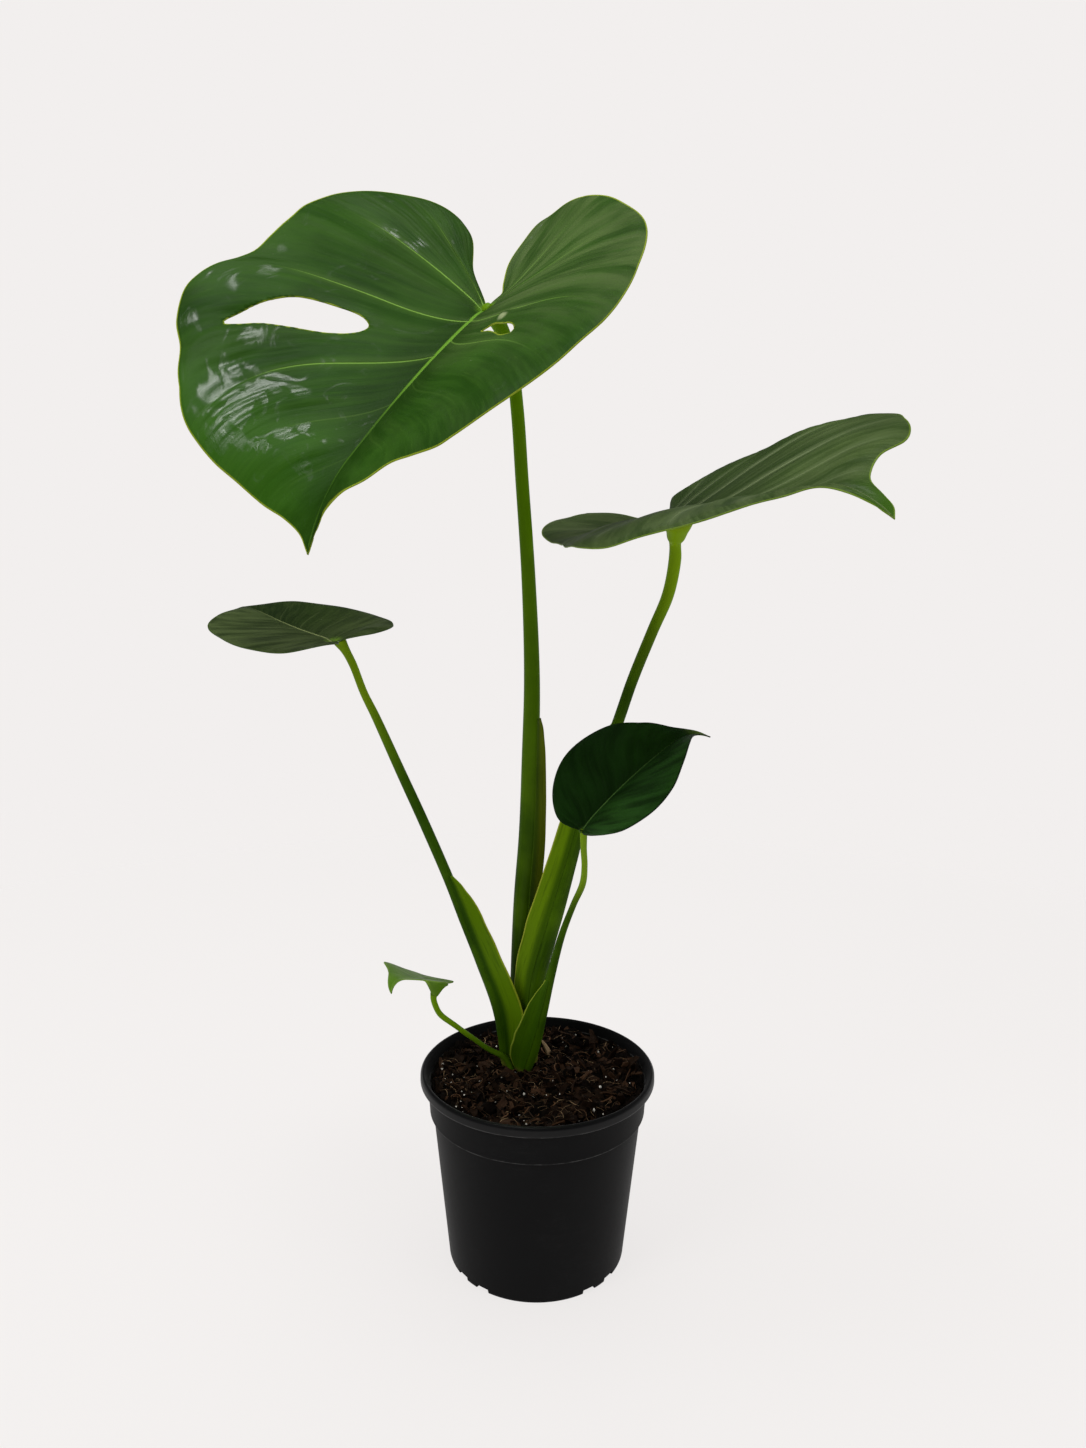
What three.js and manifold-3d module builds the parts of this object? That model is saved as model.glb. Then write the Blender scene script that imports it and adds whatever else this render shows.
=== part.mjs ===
// A young Swiss cheese plant with five leaves, standing in a black plastic nursery pot.
// Millimetres, +Z up. The origin is the middle of the pot's underside, and +Y points to the back.
import * as THREE from 'three';
import { mergeVertices } from 'three/addons/utils/BufferGeometryUtils.js';
import Module from 'manifold-3d';

const wasm = await Module();
wasm.setup();

// Driving dimensions of the pot
const potRimRadius = 75;
const potHeight = 127;
const potFootRadius = 57.1;
const wallThickness = 1.5;
const lipHeight = 6.5;
const lipOverhang = 4.5;
const bandHeight = 20;
const shoulderStep = 2.3;
const footRecess = 3;
const floorThickness = 2;
const padRadius = 12;
const potSides = 48;
const notchAngles = [36, 54];
const notchWidth = 9.5;
const notchDepth = 12;
const bandTaper = 1.5;
const drainRadius = 4.5;
const drainCircle = 42;
const drainCount = 8;

// Driving dimensions of what the pot holds
const soilLevel = 118;
const soilLumps = 1.1;
const crown = new THREE.Vector3(-12.5, 19.5, 119);
const crownRadius = 4.5;
const crownCollar = 18;
const collarFade = 12;
const clearance = 0.3;

// Driving dimensions of the leaves: the soft bottom of the fold along the midrib, where on the
// midrib its tip starts to droop, the waves of the margin, how the rings of a blade crowd
// outwards, and how far along the midrib the stalk's end sits
const bladeThickness = 0.8;
const valleyWidth = 4;
const tipBendShare = 0.72;
const marginWaves = 7;
const ringCrowding = 0.85;
const holeSteps = 20;
const holeCutterThickness = 6;
const cutTolerance = 0.02;
const stalkSeat = 2;

const rad = THREE.MathUtils.degToRad;

// Turns a closed geometry into a solid whose shared corners are merged
function solidOf(geometry) {
  const bare = geometry.index ? geometry.clone() : geometry;
  bare.deleteAttribute('normal');
  bare.deleteAttribute('uv');
  const merged = mergeVertices(bare, 1e-5);
  return new wasm.Manifold(new wasm.Mesh({
    numProp: 3,
    vertProperties: new Float32Array(merged.attributes.position.array),
    triVerts: new Uint32Array(merged.index.array),
  }));
}

// Turns a list of corner points and a list of triangles into a solid
function solidFromFaces(points, faces) {
  const geometry = new THREE.BufferGeometry();
  geometry.setAttribute('position', new THREE.Float32BufferAttribute(points.flat(), 3));
  geometry.setIndex(faces.flat());
  return solidOf(geometry);
}

// The largest connected body of a solid, without the scraps that a cut can leave
function mainBody(solid) {
  const bodies = solid.decompose();
  return bodies.reduce((best, body) => (body.volume() > best.volume() ? body : best));
}

function meshOf(name, solid, color, roughness) {
  const mesh = solid.getMesh();
  const geometry = new THREE.BufferGeometry();
  geometry.setAttribute('position', new THREE.Float32BufferAttribute(mesh.vertProperties, 3));
  geometry.setIndex(Array.from(mesh.triVerts));
  geometry.computeVertexNormals();
  const material = new THREE.MeshStandardMaterial({ color, roughness, metalness: 0 });
  const result = new THREE.Mesh(geometry, material);
  result.name = name;
  return result;
}

// A solid of revolution about +Z from a closed outline of [radius, height] points
function turned(outline, sides) {
  const points = outline.map(([radius, height]) => new THREE.Vector2(radius, height));
  return solidOf(new THREE.LatheGeometry(points, sides).rotateX(Math.PI / 2));
}

// Heights on the pot, worked out from its driving dimensions
const shoulderHeight = potHeight - lipHeight - bandHeight;
const bandTopRadius = potRimRadius - lipOverhang;
const shoulderRadius = bandTopRadius - bandTaper;
const bodyTopRadius = shoulderRadius - shoulderStep;
const floorTop = footRecess + floorThickness;

// The pot's wall from foot to lip, with a raised floor and a pad under its middle
function potShell() {
  const lipBottom = potHeight - lipHeight;
  const outline = [
    [0, 0],
    [padRadius, 0],
    [padRadius + 1.5, footRecess],
    [potFootRadius - 4, footRecess],
    [potFootRadius - 3.2, 0],
    [potFootRadius - 1, 0],
    [potFootRadius, 1.2],
    [bodyTopRadius, shoulderHeight - 1],
    [shoulderRadius, shoulderHeight],
    [bandTopRadius, lipBottom],
    [potRimRadius - 0.6, lipBottom],
    [potRimRadius, lipBottom + 0.8],
    [potRimRadius, potHeight - 1.8],
    [potRimRadius - 0.8, potHeight - 0.4],
    [potRimRadius - 2.2, potHeight],
    [potRimRadius - 3.6, potHeight - 0.8],
    [bandTopRadius - wallThickness, lipBottom],
    [shoulderRadius - wallThickness, shoulderHeight + 0.8],
    [bodyTopRadius - wallThickness, shoulderHeight - 0.6],
    [potFootRadius - wallThickness, floorTop],
    [0, floorTop],
  ];
  return turned(outline, potSides);
}

// Eight notches in the foot ring, in pairs between four wide feet
function footNotches() {
  const notches = [];
  for (let quarter = 0; quarter < 4; quarter += 1) {
    for (const offset of notchAngles) {
      const box = new THREE.BoxGeometry(notchDepth, notchWidth, 2 * footRecess);
      box.translate(potFootRadius, 0, 0);
      box.rotateZ(rad(quarter * 90 + offset));
      notches.push(solidOf(box));
    }
  }
  return notches;
}

// Eight round drain holes through the floor
function drainHoles() {
  const holes = [];
  const spacing = 360 / drainCount;
  for (let index = 0; index < drainCount; index += 1) {
    const hole = new THREE.CylinderGeometry(drainRadius, drainRadius, 4 * floorThickness, 12);
    hole.rotateX(Math.PI / 2);
    hole.translate(drainCircle, 0, footRecess + floorThickness / 2);
    hole.rotateZ(rad((index + 0.5) * spacing));
    holes.push(solidOf(hole));
  }
  return holes;
}

function pot() {
  return [...footNotches(), ...drainHoles()].reduce((shell, cut) => shell.subtract(cut), potShell());
}

// How far the soil's surface stands above its level, smooth near the crown of the plant
function soilRelief(x, y) {
  const lumps = Math.sin(0.21 * x + 0.9) * Math.cos(0.17 * y)
    + 0.7 * Math.sin(0.37 * x - 0.29 * y + 2)
    + 0.5 * Math.cos(0.11 * x + 0.47 * y);
  const away = Math.hypot(x - crown.x, y - crown.y);
  const blend = THREE.MathUtils.smoothstep(away, crownCollar, crownCollar + collarFade);
  const collar = crown.z - clearance - soilLevel;
  return (1 - blend) * collar + blend * soilLumps * lumps;
}

// The soil: a plug that follows the inside of the pot, with a lumpy surface
function soilPlug() {
  const rings = 9;
  const sides = potSides;
  const gap = wallThickness + clearance;
  const wall = [
    [potFootRadius - gap, floorTop + clearance],
    [bodyTopRadius - gap, shoulderHeight - 0.2],
    [shoulderRadius - gap, shoulderHeight + 1.8],
  ];
  const topRadius = shoulderRadius - gap + 1;
  const points = [[0, 0, floorTop + clearance]];
  const addRing = (radius, heightAt) => {
    for (let side = 0; side < sides; side += 1) {
      const angle = (2 * Math.PI * side) / sides;
      const x = radius * Math.cos(angle);
      const y = radius * Math.sin(angle);
      points.push([x, y, heightAt(x, y)]);
    }
  };
  for (const [radius, height] of wall) {
    addRing(radius, () => height);
  }
  for (let ring = rings; ring > 0; ring -= 1) {
    addRing((topRadius * ring) / rings, (x, y) => soilLevel + soilRelief(x, y));
  }
  points.push([0, 0, soilLevel + soilRelief(0, 0)]);
  return solidFromFaces(points, ringFaces(wall.length + rings, sides));
}

// Triangles of a closed body made of rings between a first and a last point
function ringFaces(ringCount, sides) {
  const faces = [];
  const at = (ring, side) => 1 + ring * sides + (side % sides);
  const last = 1 + ringCount * sides;
  for (let side = 0; side < sides; side += 1) {
    faces.push([0, at(0, side + 1), at(0, side)]);
    for (let ring = 0; ring < ringCount - 1; ring += 1) {
      faces.push([at(ring, side), at(ring, side + 1), at(ring + 1, side + 1)]);
      faces.push([at(ring, side), at(ring + 1, side + 1), at(ring + 1, side)]);
    }
    faces.push([at(ringCount - 1, side), at(ringCount - 1, side + 1), last]);
  }
  return faces;
}

// The rootstock: a short stem whose buried end narrows to a point, grown by a margin
function rootstock(margin) {
  const outline = [
    [0, -48],
    [2.5, -45],
    [5.5, -14],
    [crownRadius + 0.6, -3],
    [crownRadius, 4],
    [crownRadius - 1.2, 11],
    [0, 13],
  ].map(([radius, height], index) => {
    const outward = index === 0 ? -margin : height > 10 ? margin : 0;
    return [radius > 0 ? radius + margin : 0, height + outward];
  });
  return turned(outline, 16).translate([crown.x, crown.y, crown.z]);
}

// A stalk along a route of [x, y, z, radius] points. Its wing is a thin ridge, the open edge
// of the sheath, that stands out at an angle (0 to the right, 90 to the front) and whose
// height follows a list of [share of the route, height] points.
function stalk({ route, wing, sides }) {
  const path = new THREE.CatmullRomCurve3(route.map(([x, y, z]) => new THREE.Vector3(x, y, z)));
  const girth = new THREE.CatmullRomCurve3(route.map((point) => new THREE.Vector3(point[3], 0, 0)));
  const ringCount = 2 * (route.length - 1) + 1;
  const front = new THREE.Vector3(0, -1, 0);
  const points = [];
  for (let ring = 0; ring < ringCount; ring += 1) {
    const share = ring / (ringCount - 1);
    const centre = path.getPoint(share);
    const along = path.getTangent(share);
    const forward = front.clone().addScaledVector(along, -front.dot(along)).normalize();
    const right = along.clone().cross(forward);
    const radius = girth.getPoint(share).x;
    const height = wing ? interpolate(wing.heights, share) : 0;
    if (ring === 0) {
      points.push(centre.toArray());
    }
    for (let side = 0; side < sides; side += 1) {
      const angle = (2 * Math.PI * side) / sides + rad(wing ? wing.angle : 0);
      const reach = radius + (side === 0 ? height : 0);
      const corner = centre.clone()
        .addScaledVector(right, reach * Math.cos(angle))
        .addScaledVector(forward, reach * Math.sin(angle));
      points.push(corner.toArray());
    }
    if (ring === ringCount - 1) {
      points.push(centre.toArray());
    }
  }
  const faces = ringFaces(ringCount, sides).map(([a, b, c]) => [a, c, b]);
  return solidFromFaces(points, faces);
}

// Straight-line reading of a list of [position, value] points
function interpolate(list, position) {
  const next = list.findIndex(([place]) => place >= position);
  if (next < 0) {
    return list[list.length - 1][1];
  }
  if (next === 0) {
    return list[0][1];
  }
  const [from, low] = list[next - 1];
  const [to, high] = list[next];
  return low + ((high - low) * (position - from)) / (to - from);
}

// A circular arc that starts at a slope: how far it goes along, how far it rises, its end slope
function arc(slope, curvature, length) {
  const bend = Math.abs(curvature) < 1e-9 ? 1e-9 : curvature;
  const end = slope + bend * length;
  return {
    along: (Math.sin(end) - Math.sin(slope)) / bend,
    rise: (Math.cos(slope) - Math.cos(end)) / bend,
    end,
  };
}

// The way a blade faces: towards its tip, towards its left side, and out of its upper face
function bladeAxes({ heading, pitch, roll }) {
  const level = Math.cos(rad(pitch));
  const east = Math.cos(rad(heading));
  const north = Math.sin(rad(heading));
  const tip = new THREE.Vector3(level * east, level * north, Math.sin(rad(pitch)));
  const flatLeft = new THREE.Vector3(-north, east, 0);
  const flatUp = tip.clone().cross(flatLeft);
  const left = flatLeft.multiplyScalar(Math.cos(rad(roll))).addScaledVector(flatUp, Math.sin(rad(roll)));
  return { tip, left, up: tip.clone().cross(left) };
}

// The point of a bent blade at s along the midrib (0 at the stalk) and t to its left.
// The midrib is three arcs, and each half is one arc that starts at its fold.
function bladePoint(leaf, s, t) {
  const { tip, left, up } = bladeAxes(leaf);
  const { length, droop, tipDroop, lobeDroop, folds, curls, waves } = leaf;
  const bendStart = tipBendShare * length;
  const behind = arc(0, lobeDroop / length, Math.min(s, 0));
  const middle = arc(0, droop / length, Math.min(Math.max(s, 0), bendStart));
  const tipBend = droop / length + tipDroop / (length - bendStart);
  const ahead = arc(middle.end, tipBend, Math.max(s - bendStart, 0));
  const along = s < 0 ? behind.along : middle.along + ahead.along;
  const drop = s < 0 ? behind.rise : middle.rise + ahead.rise;
  const slope = s < 0 ? behind.end : ahead.end;
  const half = t >= 0 ? 0 : 1;
  const curl = curls[half] / length;
  const outward = arc(folds[half], curl, Math.abs(t)).along * Math.sign(t);
  const valley = Math.hypot(t, valleyWidth) - valleyWidth;
  const reach = Math.abs(t) / (0.5 * length);
  const wave = waves * reach * reach * Math.sin((marginWaves * s) / length + half);
  const lift = arc(folds[half], curl, valley).rise + wave;
  const upHere = up.clone().multiplyScalar(Math.cos(slope)).addScaledVector(tip, Math.sin(slope));
  return new THREE.Vector3(...leaf.base)
    .addScaledVector(tip, along)
    .addScaledVector(up, -drop)
    .addScaledVector(left, outward)
    .addScaledVector(upHere, lift);
}

function bladeNormal(leaf, s, t) {
  const step = 0.5;
  const alongTip = bladePoint(leaf, s + step, t).sub(bladePoint(leaf, s - step, t));
  const alongLeft = bladePoint(leaf, s, t + step).sub(bladePoint(leaf, s, t - step));
  return alongTip.cross(alongLeft).normalize();
}

// Spaced points along a flat curve through [s, t] points, without its last point
function flatCurve(places, closed, count) {
  const corners = places.map(([s, t]) => new THREE.Vector3(s, t, 0));
  const curve = new THREE.CatmullRomCurve3(corners, closed, 'centripetal');
  return curve.getSpacedPoints(count).slice(0, -1).map((point) => [point.x, point.y]);
}

// A sheet of even thickness over a closed flat outline, bent to the blade's form.
// Rings run from a middle point out to the outline, and both faces are split alike.
function bentSheet(leaf, outline, middle, ringCount, thickness) {
  const count = outline.length;
  const flat = [middle];
  for (let ring = 1; ring <= ringCount; ring += 1) {
    const share = (ring / ringCount) ** ringCrowding;
    for (const [s, t] of outline) {
      flat.push([middle[0] + share * (s - middle[0]), middle[1] + share * (t - middle[1])]);
    }
  }
  const faceOffset = flat.length;
  const points = [];
  for (const side of [1, -1]) {
    for (const [s, t] of flat) {
      const normal = bladeNormal(leaf, s, t);
      points.push(bladePoint(leaf, s, t).addScaledVector(normal, (side * thickness) / 2).toArray());
    }
  }
  const at = (ring, index) => 1 + (ring - 1) * count + (index % count);
  const upper = [];
  for (let index = 0; index < count; index += 1) {
    upper.push([0, at(1, index), at(1, index + 1)]);
    for (let ring = 1; ring < ringCount; ring += 1) {
      upper.push([at(ring, index), at(ring + 1, index), at(ring + 1, index + 1)]);
      upper.push([at(ring, index), at(ring + 1, index + 1), at(ring, index + 1)]);
    }
  }
  const lower = upper.map(([a, b, c]) => [a + faceOffset, c + faceOffset, b + faceOffset]);
  const edge = [];
  for (let index = 0; index < count; index += 1) {
    const a = at(ringCount, index);
    const b = at(ringCount, index + 1);
    edge.push([a, a + faceOffset, b + faceOffset], [a, b + faceOffset, b]);
  }
  return solidFromFaces(points, [...upper, ...lower, ...edge]);
}

// A leaf blade: its two margins joined at the sinus and the tip, less its holes
function blade(leaf, thickness) {
  const { leftMargin, rightMargin, marginSteps, rings, holes = [] } = leaf;
  const left = flatCurve(leftMargin, false, marginSteps);
  const right = flatCurve(rightMargin, false, marginSteps);
  const outline = [...left, ...right].reverse();
  const sheet = bentSheet(leaf, outline, leaf.middle, rings, thickness);
  return holes.reduce((body, hole) => body.subtract(bladeHole(leaf, hole)), sheet);
}

// The cutter for a hole in a blade: the same bent sheet, much thicker, over the hole's outline
function bladeHole(leaf, hole) {
  const outline = flatCurve(hole, true, holeSteps);
  const average = (axis) => outline.reduce((sum, point) => sum + point[axis], 0) / outline.length;
  return bentSheet(leaf, outline, [average(0), average(1)], 1, holeCutterThickness);
}

// The leaves, largest first. Margins are [along the midrib, to the left] points in millimetres,
// from the sinus at the stalk to the tip and back, and holes run from the midrib side round to the left.
const leaves = [
  {
    base: [-32.8, 0, 592.1],
    heading: 236,
    pitch: -34,
    roll: -2,
    length: 200,
    droop: 0.23,
    tipDroop: 0.5,
    lobeDroop: -0.8,
    folds: [0.3, 0.45],
    curls: [-0.5, 0.2],
    waves: 2,
    middle: [16, 2],
    marginSteps: 27,
    rings: 7,
    leftMargin: [
      [0, -3], [-30, -5], [-65, -9], [-86, -4], [-96, 12], [-88, 46], [-58, 82], [-16, 100], [21, 113],
      [58, 120], [95, 107], [125, 89], [146, 72], [155, 48], [163, 25], [169, 8], [184, -1], [200, -3],
    ],
    rightMargin: [
      [200, -3], [187, -14], [174, -48], [157, -86], [136, -108], [105, -133], [78, -143], [50, -131],
      [30, -128], [8, -130], [-20, -133], [-47, -129], [-66, -112], [-76, -84], [-68, -52], [-30, -25],
      [-10, -10], [0, -3],
    ],
    holes: [
      [
        [95, -110], [78, -77], [70, -58], [61, -46], [54, -44], [49, -51], [50, -68], [56, -88], [72, -102],
      ],
      [
        [47, 27], [51, 38], [60, 52], [58, 60], [49, 53], [37, 43], [33, 35], [41, 31],
      ],
    ],
  },
  {
    base: [72.1, 0, 473.9],
    heading: -61,
    pitch: 11,
    roll: 20,
    length: 173,
    droop: 0.2,
    tipDroop: 0.8,
    lobeDroop: -0.8,
    folds: [0.27, 0.27],
    curls: [-0.3, -0.6],
    waves: 1.5,
    middle: [14, 2],
    marginSteps: 23,
    rings: 6,
    leftMargin: [
      [0, 4], [-12, 14], [-30, 34], [-30, 58], [-20, 80], [10, 87], [50, 89], [84, 92], [112, 85],
      [130, 68], [141, 46], [142, 25], [152, 10], [173, 2],
    ],
    rightMargin: [
      [173, 2], [155, -5], [141, -16], [136, -42], [134, -70], [120, -90], [96, -97], [60, -100],
      [20, -90], [-30, -66], [-72, -42], [-94, -23], [-101, -5], [-92, 6], [-60, 8], [-25, 6], [0, 4],
    ],
  },
  {
    base: [-124.6, 0, 401.3],
    heading: 135,
    pitch: 4,
    roll: -10,
    length: 101.5,
    droop: -0.22,
    tipDroop: 0.2,
    lobeDroop: -1,
    folds: [0.21, 0.16],
    curls: [-0.5, -0.55],
    waves: 0.8,
    middle: [12, 0],
    marginSteps: 18,
    rings: 5,
    leftMargin: [
      [0, 0], [-12, 5], [-26, 14], [-31, 26], [-23, 36], [-6, 44], [18, 51], [46, 49], [70, 44],
      [82, 25], [99, 1],
    ],
    rightMargin: [
      [99, 1], [91, -10], [76, -27], [54, -41], [32, -46], [8, -43], [-14, -35], [-27, -24], [-25, -11],
      [-10, -3], [0, 0],
    ],
  },
  {
    base: [24.7, -46, 298.1],
    heading: 26,
    pitch: 44,
    roll: -2,
    length: 103,
    droop: 0.31,
    tipDroop: 0.8,
    lobeDroop: -0.1,
    folds: [0.48, 0.24],
    curls: [-0.47, -0.54],
    waves: 0.8,
    middle: [14, 0],
    marginSteps: 17,
    rings: 5,
    leftMargin: [
      [0, 0], [-3, 8], [-3, 20], [9, 38], [28, 50], [46, 52], [63, 46], [76, 28], [86, 11], [104, 0],
    ],
    rightMargin: [
      [104, 0], [88, -9], [76, -22], [60, -37], [42, -51], [24, -55], [8, -46], [-1, -25], [-3, -8], [0, 0],
    ],
  },
  {
    base: [-63.3, -20.3, 192.7],
    heading: 231,
    pitch: 30,
    roll: 5,
    length: 45,
    droop: 0.38,
    tipDroop: 1.82,
    lobeDroop: -0.85,
    folds: [0.13, 0.29],
    curls: [-0.4, -0.4],
    waves: 0.2,
    middle: [6, -1],
    marginSteps: 15,
    rings: 6,
    leftMargin: [
      [0, 0], [-5, 3], [-3, 8], [3, 12], [10, 17], [20, 19], [28, 9], [36, 3], [45, 0],
    ],
    rightMargin: [
      [45, 0], [36, -6], [30, -13], [22, -24], [10, -17], [0, -14], [-9, -12], [-18, -6], [-20, -2],
      [-9, -1], [0, 0],
    ],
  },
];

// The leaf stalks in the same order, from the crown up to the blade. Each widens at its foot
// into a sheath, whose open edge is the wing, and ends in a thicker bend under its blade.
const stalks = [
  {
    route: [
      [-12.5, 27, 116, 4.2], [-12.7, 29, 153, 6], [-12.1, 29.5, 184, 6.1], [-10.3, 28, 230, 6.1],
      [-7.3, 26, 275, 5.9], [-6, 24, 326, 5.5], [-5.3, 21, 375, 5], [-7.7, 18, 437, 4.3],
      [-11.9, 16, 496, 4], [-14.9, 15, 537, 3.9], [-18.6, 12, 565, 3.8], [-24.6, 7, 582, 4.4],
      [-30.5, 0.5, 590, 4.4], [-34, -3.5, 596, 4],
    ],
    wing: { angle: 0, heights: [[0, 1], [0.1, 5], [0.3, 5.8], [0.38, 5.2], [0.42, 3.4], [0.44, 0]] },
    sides: 12,
  },
  {
    route: [
      [-4.6, 20, 116, 4], [-3.5, 18.5, 156.5, 6.4], [-0.8, 18.5, 182.5, 6.4], [4.8, 19, 205, 6.4],
      [10.5, 19, 226, 6.2], [19.8, 20, 260, 5], [28.3, 21, 292, 4.1], [47.7, 22, 345, 3.6],
      [57.3, 20, 375.5, 3.5], [68.8, 16, 407, 3.5], [77, 12, 429, 3.7], [80, 8, 450, 3.9],
      [79, 3.5, 464, 4.6], [74, -1, 473, 4.8], [71, -3, 480, 4.6],
    ],
    wing: {
      angle: 160,
      heights: [[0, 0.8], [0.1, 2], [0.18, 5.5], [0.26, 8], [0.34, 6.5], [0.385, 1.5], [0.4, 0]],
    },
    sides: 12,
  },
  {
    route: [
      [-20.2, 20, 116, 3.6], [-25, 20, 156, 4.7], [-37.2, 17, 192, 3.9], [-47.9, 14, 221.5, 3.5],
      [-57.1, 12, 247.5, 3.3], [-72.3, 9, 286, 3.2], [-86.4, 6, 320, 3.2], [-100.3, 4, 354, 3.1],
      [-113.1, 2, 386, 3.2], [-120.5, 1.2, 395.5, 3.7], [-125.5, 1.4, 401, 3.5], [-128, 1.6, 407, 3.2],
    ],
    wing: { angle: 25, heights: [[0, 1], [0.1, 8], [0.2, 10], [0.27, 7], [0.32, 1.5], [0.34, 0]] },
    sides: 12,
  },
  {
    route: [
      [-8.7, 12, 116, 3.8], [-2.8, 8.6, 137, 4.4], [1.4, 6, 156, 3.9], [8.1, 1, 189, 2.9],
      [14.6, -9, 219.5, 2.2], [21.2, -19.8, 243, 1.9], [26.2, -28.5, 259, 2], [26.9, -36, 272.5, 1.8],
      [26, -42, 285, 1.9], [25.7, -45.2, 297, 2.2], [24, -47, 304, 2],
    ],
    wing: { angle: 150, heights: [[0, 1.5], [0.12, 6], [0.24, 7.5], [0.31, 4], [0.345, 0]] },
    sides: 12,
  },
  {
    route: [
      [-16, 13, 116, 2.3], [-21, 11.3, 126.5, 2], [-31.8, 7, 135, 1.7], [-39.8, 3, 143, 1.6],
      [-52.4, -7, 158, 1.6], [-61.7, -14, 169, 1.6], [-64.3, -18, 182, 1.7], [-64.3, -20.4, 189.5, 1.9],
      [-64.6, -22.3, 195.5, 1.8],
    ],
    wing: null,
    sides: 10,
  },
];

// A dry bract left from an old leaf: a beige spike beside the crown, with its foot in the soil
const bract = {
  route: [[8.4, 31.3, 112, 1.6], [7.8, 31, 119, 1.8], [4.5, 30, 126, 1.4], [0.8, 29, 132, 0.4]],
  wing: null,
  sides: 8,
};

// Hollow in the soil for the bract's foot
function bractHollow() {
  const hollowRadius = 2.6;
  const hollowHeight = 12;
  const hollow = new THREE.CylinderGeometry(hollowRadius, hollowRadius, hollowHeight, 12);
  hollow.rotateX(Math.PI / 2);
  hollow.translate(8.1, 31.2, 117.7);
  return solidOf(hollow);
}

// A stalk with a level foot on the soil, hollowed where it nests against the rootstock, and with
// a flat top end that lies just under its blade's midrib
function fittedStalk(item, leaf) {
  const { up } = bladeAxes(leaf);
  const under = bladePoint(leaf, stalkSeat, 0).addScaledVector(up, -bladeThickness / 2 - clearance);
  const body = stalk(item)
    .subtract(rootstock(clearance))
    .trimByPlane([0, 0, 1], crown.z)
    .trimByPlane(up.clone().negate().toArray(), -under.dot(up));
  return mainBody(body).simplify(cutTolerance);
}

const object = new THREE.Group();
const bladeColors = ['#3f6b2c', '#47683a', '#2f5530', '#1f3d22', '#4b7a34'];
const stalkColors = ['#5d7f35', '#6b8a3a', '#5f7f38', '#4f7434', '#6f9442'];

object.add(meshOf('pot', pot(), '#151719', 0.5));
const hollowedSoil = soilPlug().subtract(rootstock(clearance)).subtract(bractHollow());
object.add(meshOf('soil', hollowedSoil, '#241a14', 0.95));
object.add(meshOf('rootstock', rootstock(0), '#6c6a3c', 0.7));
object.add(meshOf('dry_bract', stalk(bract), '#c9b184', 0.8));
stalks.forEach((item, index) => {
  object.add(meshOf(`petiole_${index + 1}`, fittedStalk(item, leaves[index]), stalkColors[index], 0.45));
});
leaves.forEach((leaf, index) => {
  object.add(meshOf(`blade_${index + 1}`, blade(leaf, bladeThickness), bladeColors[index], 0.4));
});

export default object;
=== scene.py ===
import bpy
import numpy as np
from mathutils import Matrix, Vector


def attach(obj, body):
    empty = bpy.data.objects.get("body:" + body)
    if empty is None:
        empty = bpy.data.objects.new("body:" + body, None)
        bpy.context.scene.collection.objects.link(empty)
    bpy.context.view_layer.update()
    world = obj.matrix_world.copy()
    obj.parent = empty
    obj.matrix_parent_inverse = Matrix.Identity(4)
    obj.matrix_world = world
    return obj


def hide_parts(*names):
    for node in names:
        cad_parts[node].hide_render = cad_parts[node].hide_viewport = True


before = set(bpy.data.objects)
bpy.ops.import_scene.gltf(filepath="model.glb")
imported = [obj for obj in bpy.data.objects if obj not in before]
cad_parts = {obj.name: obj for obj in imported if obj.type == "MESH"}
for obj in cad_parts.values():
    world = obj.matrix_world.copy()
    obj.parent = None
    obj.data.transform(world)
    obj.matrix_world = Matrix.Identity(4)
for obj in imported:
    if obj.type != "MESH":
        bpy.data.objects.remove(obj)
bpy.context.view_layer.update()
mm = 0.001
scene = bpy.context.scene

# The camera stands in front of the plant and looks slightly down, tilted by a hair
cameraLook = dict(place=(1.8, -658.7, 468.0), pitch=10.09, roll=0.45, lens=27.35)


def addCamera():
    data = bpy.data.cameras.new("camera")
    data.lens = cameraLook["lens"]
    data.sensor_width = 36
    made = bpy.data.objects.new("camera", data)
    down = Matrix.Rotation(np.radians(90 - cameraLook["pitch"]), 4, "X")
    tilt = Matrix.Rotation(np.radians(cameraLook["roll"]), 4, "Z")
    made.matrix_world = Matrix.Translation(Vector(cameraLook["place"]) * mm) @ down @ tilt
    scene.collection.objects.link(made)
    scene.camera = made


addCamera()
print("camera placed")


# Curves, grids and thin sheets, as whole arrays

# A smooth curve through points: each span is a cubic whose end slopes come from the neighbours,
# spaced by the square root of their distances. The first three columns are places.
def curveThrough(points, perSpan, closed=False):
    points = np.asarray(points, float)
    if closed:
        padded = np.vstack([points[-1:], points, points[:2]])
    else:
        padded = np.vstack([2 * points[:1] - points[1:2], points, 2 * points[-1:] - points[-2:-1]])
    spans = len(padded) - 3
    before, start, end, after = (padded[shift:spans + shift] for shift in range(4))
    first = np.sqrt(np.linalg.norm((start - before)[:, :3], axis=1))[:, None]
    middle = np.sqrt(np.linalg.norm((end - start)[:, :3], axis=1))[:, None]
    last = np.sqrt(np.linalg.norm((after - end)[:, :3], axis=1))[:, None]
    leaving = (start - before) / first - (end - before) / (first + middle) + (end - start) / middle
    coming = (end - start) / middle - (after - start) / (middle + last) + (after - end) / last
    u = (np.arange(perSpan) / perSpan)[None, :, None]
    curve = (
        (2 * u**3 - 3 * u**2 + 1) * start[:, None]
        + (u**3 - 2 * u**2 + u) * (middle * leaving)[:, None]
        + (3 * u**2 - 2 * u**3) * end[:, None]
        + (u**3 - u**2) * (middle * coming)[:, None]
    ).reshape(-1, points.shape[1])
    return curve if closed else np.vstack([curve, points[-1:]])


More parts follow.
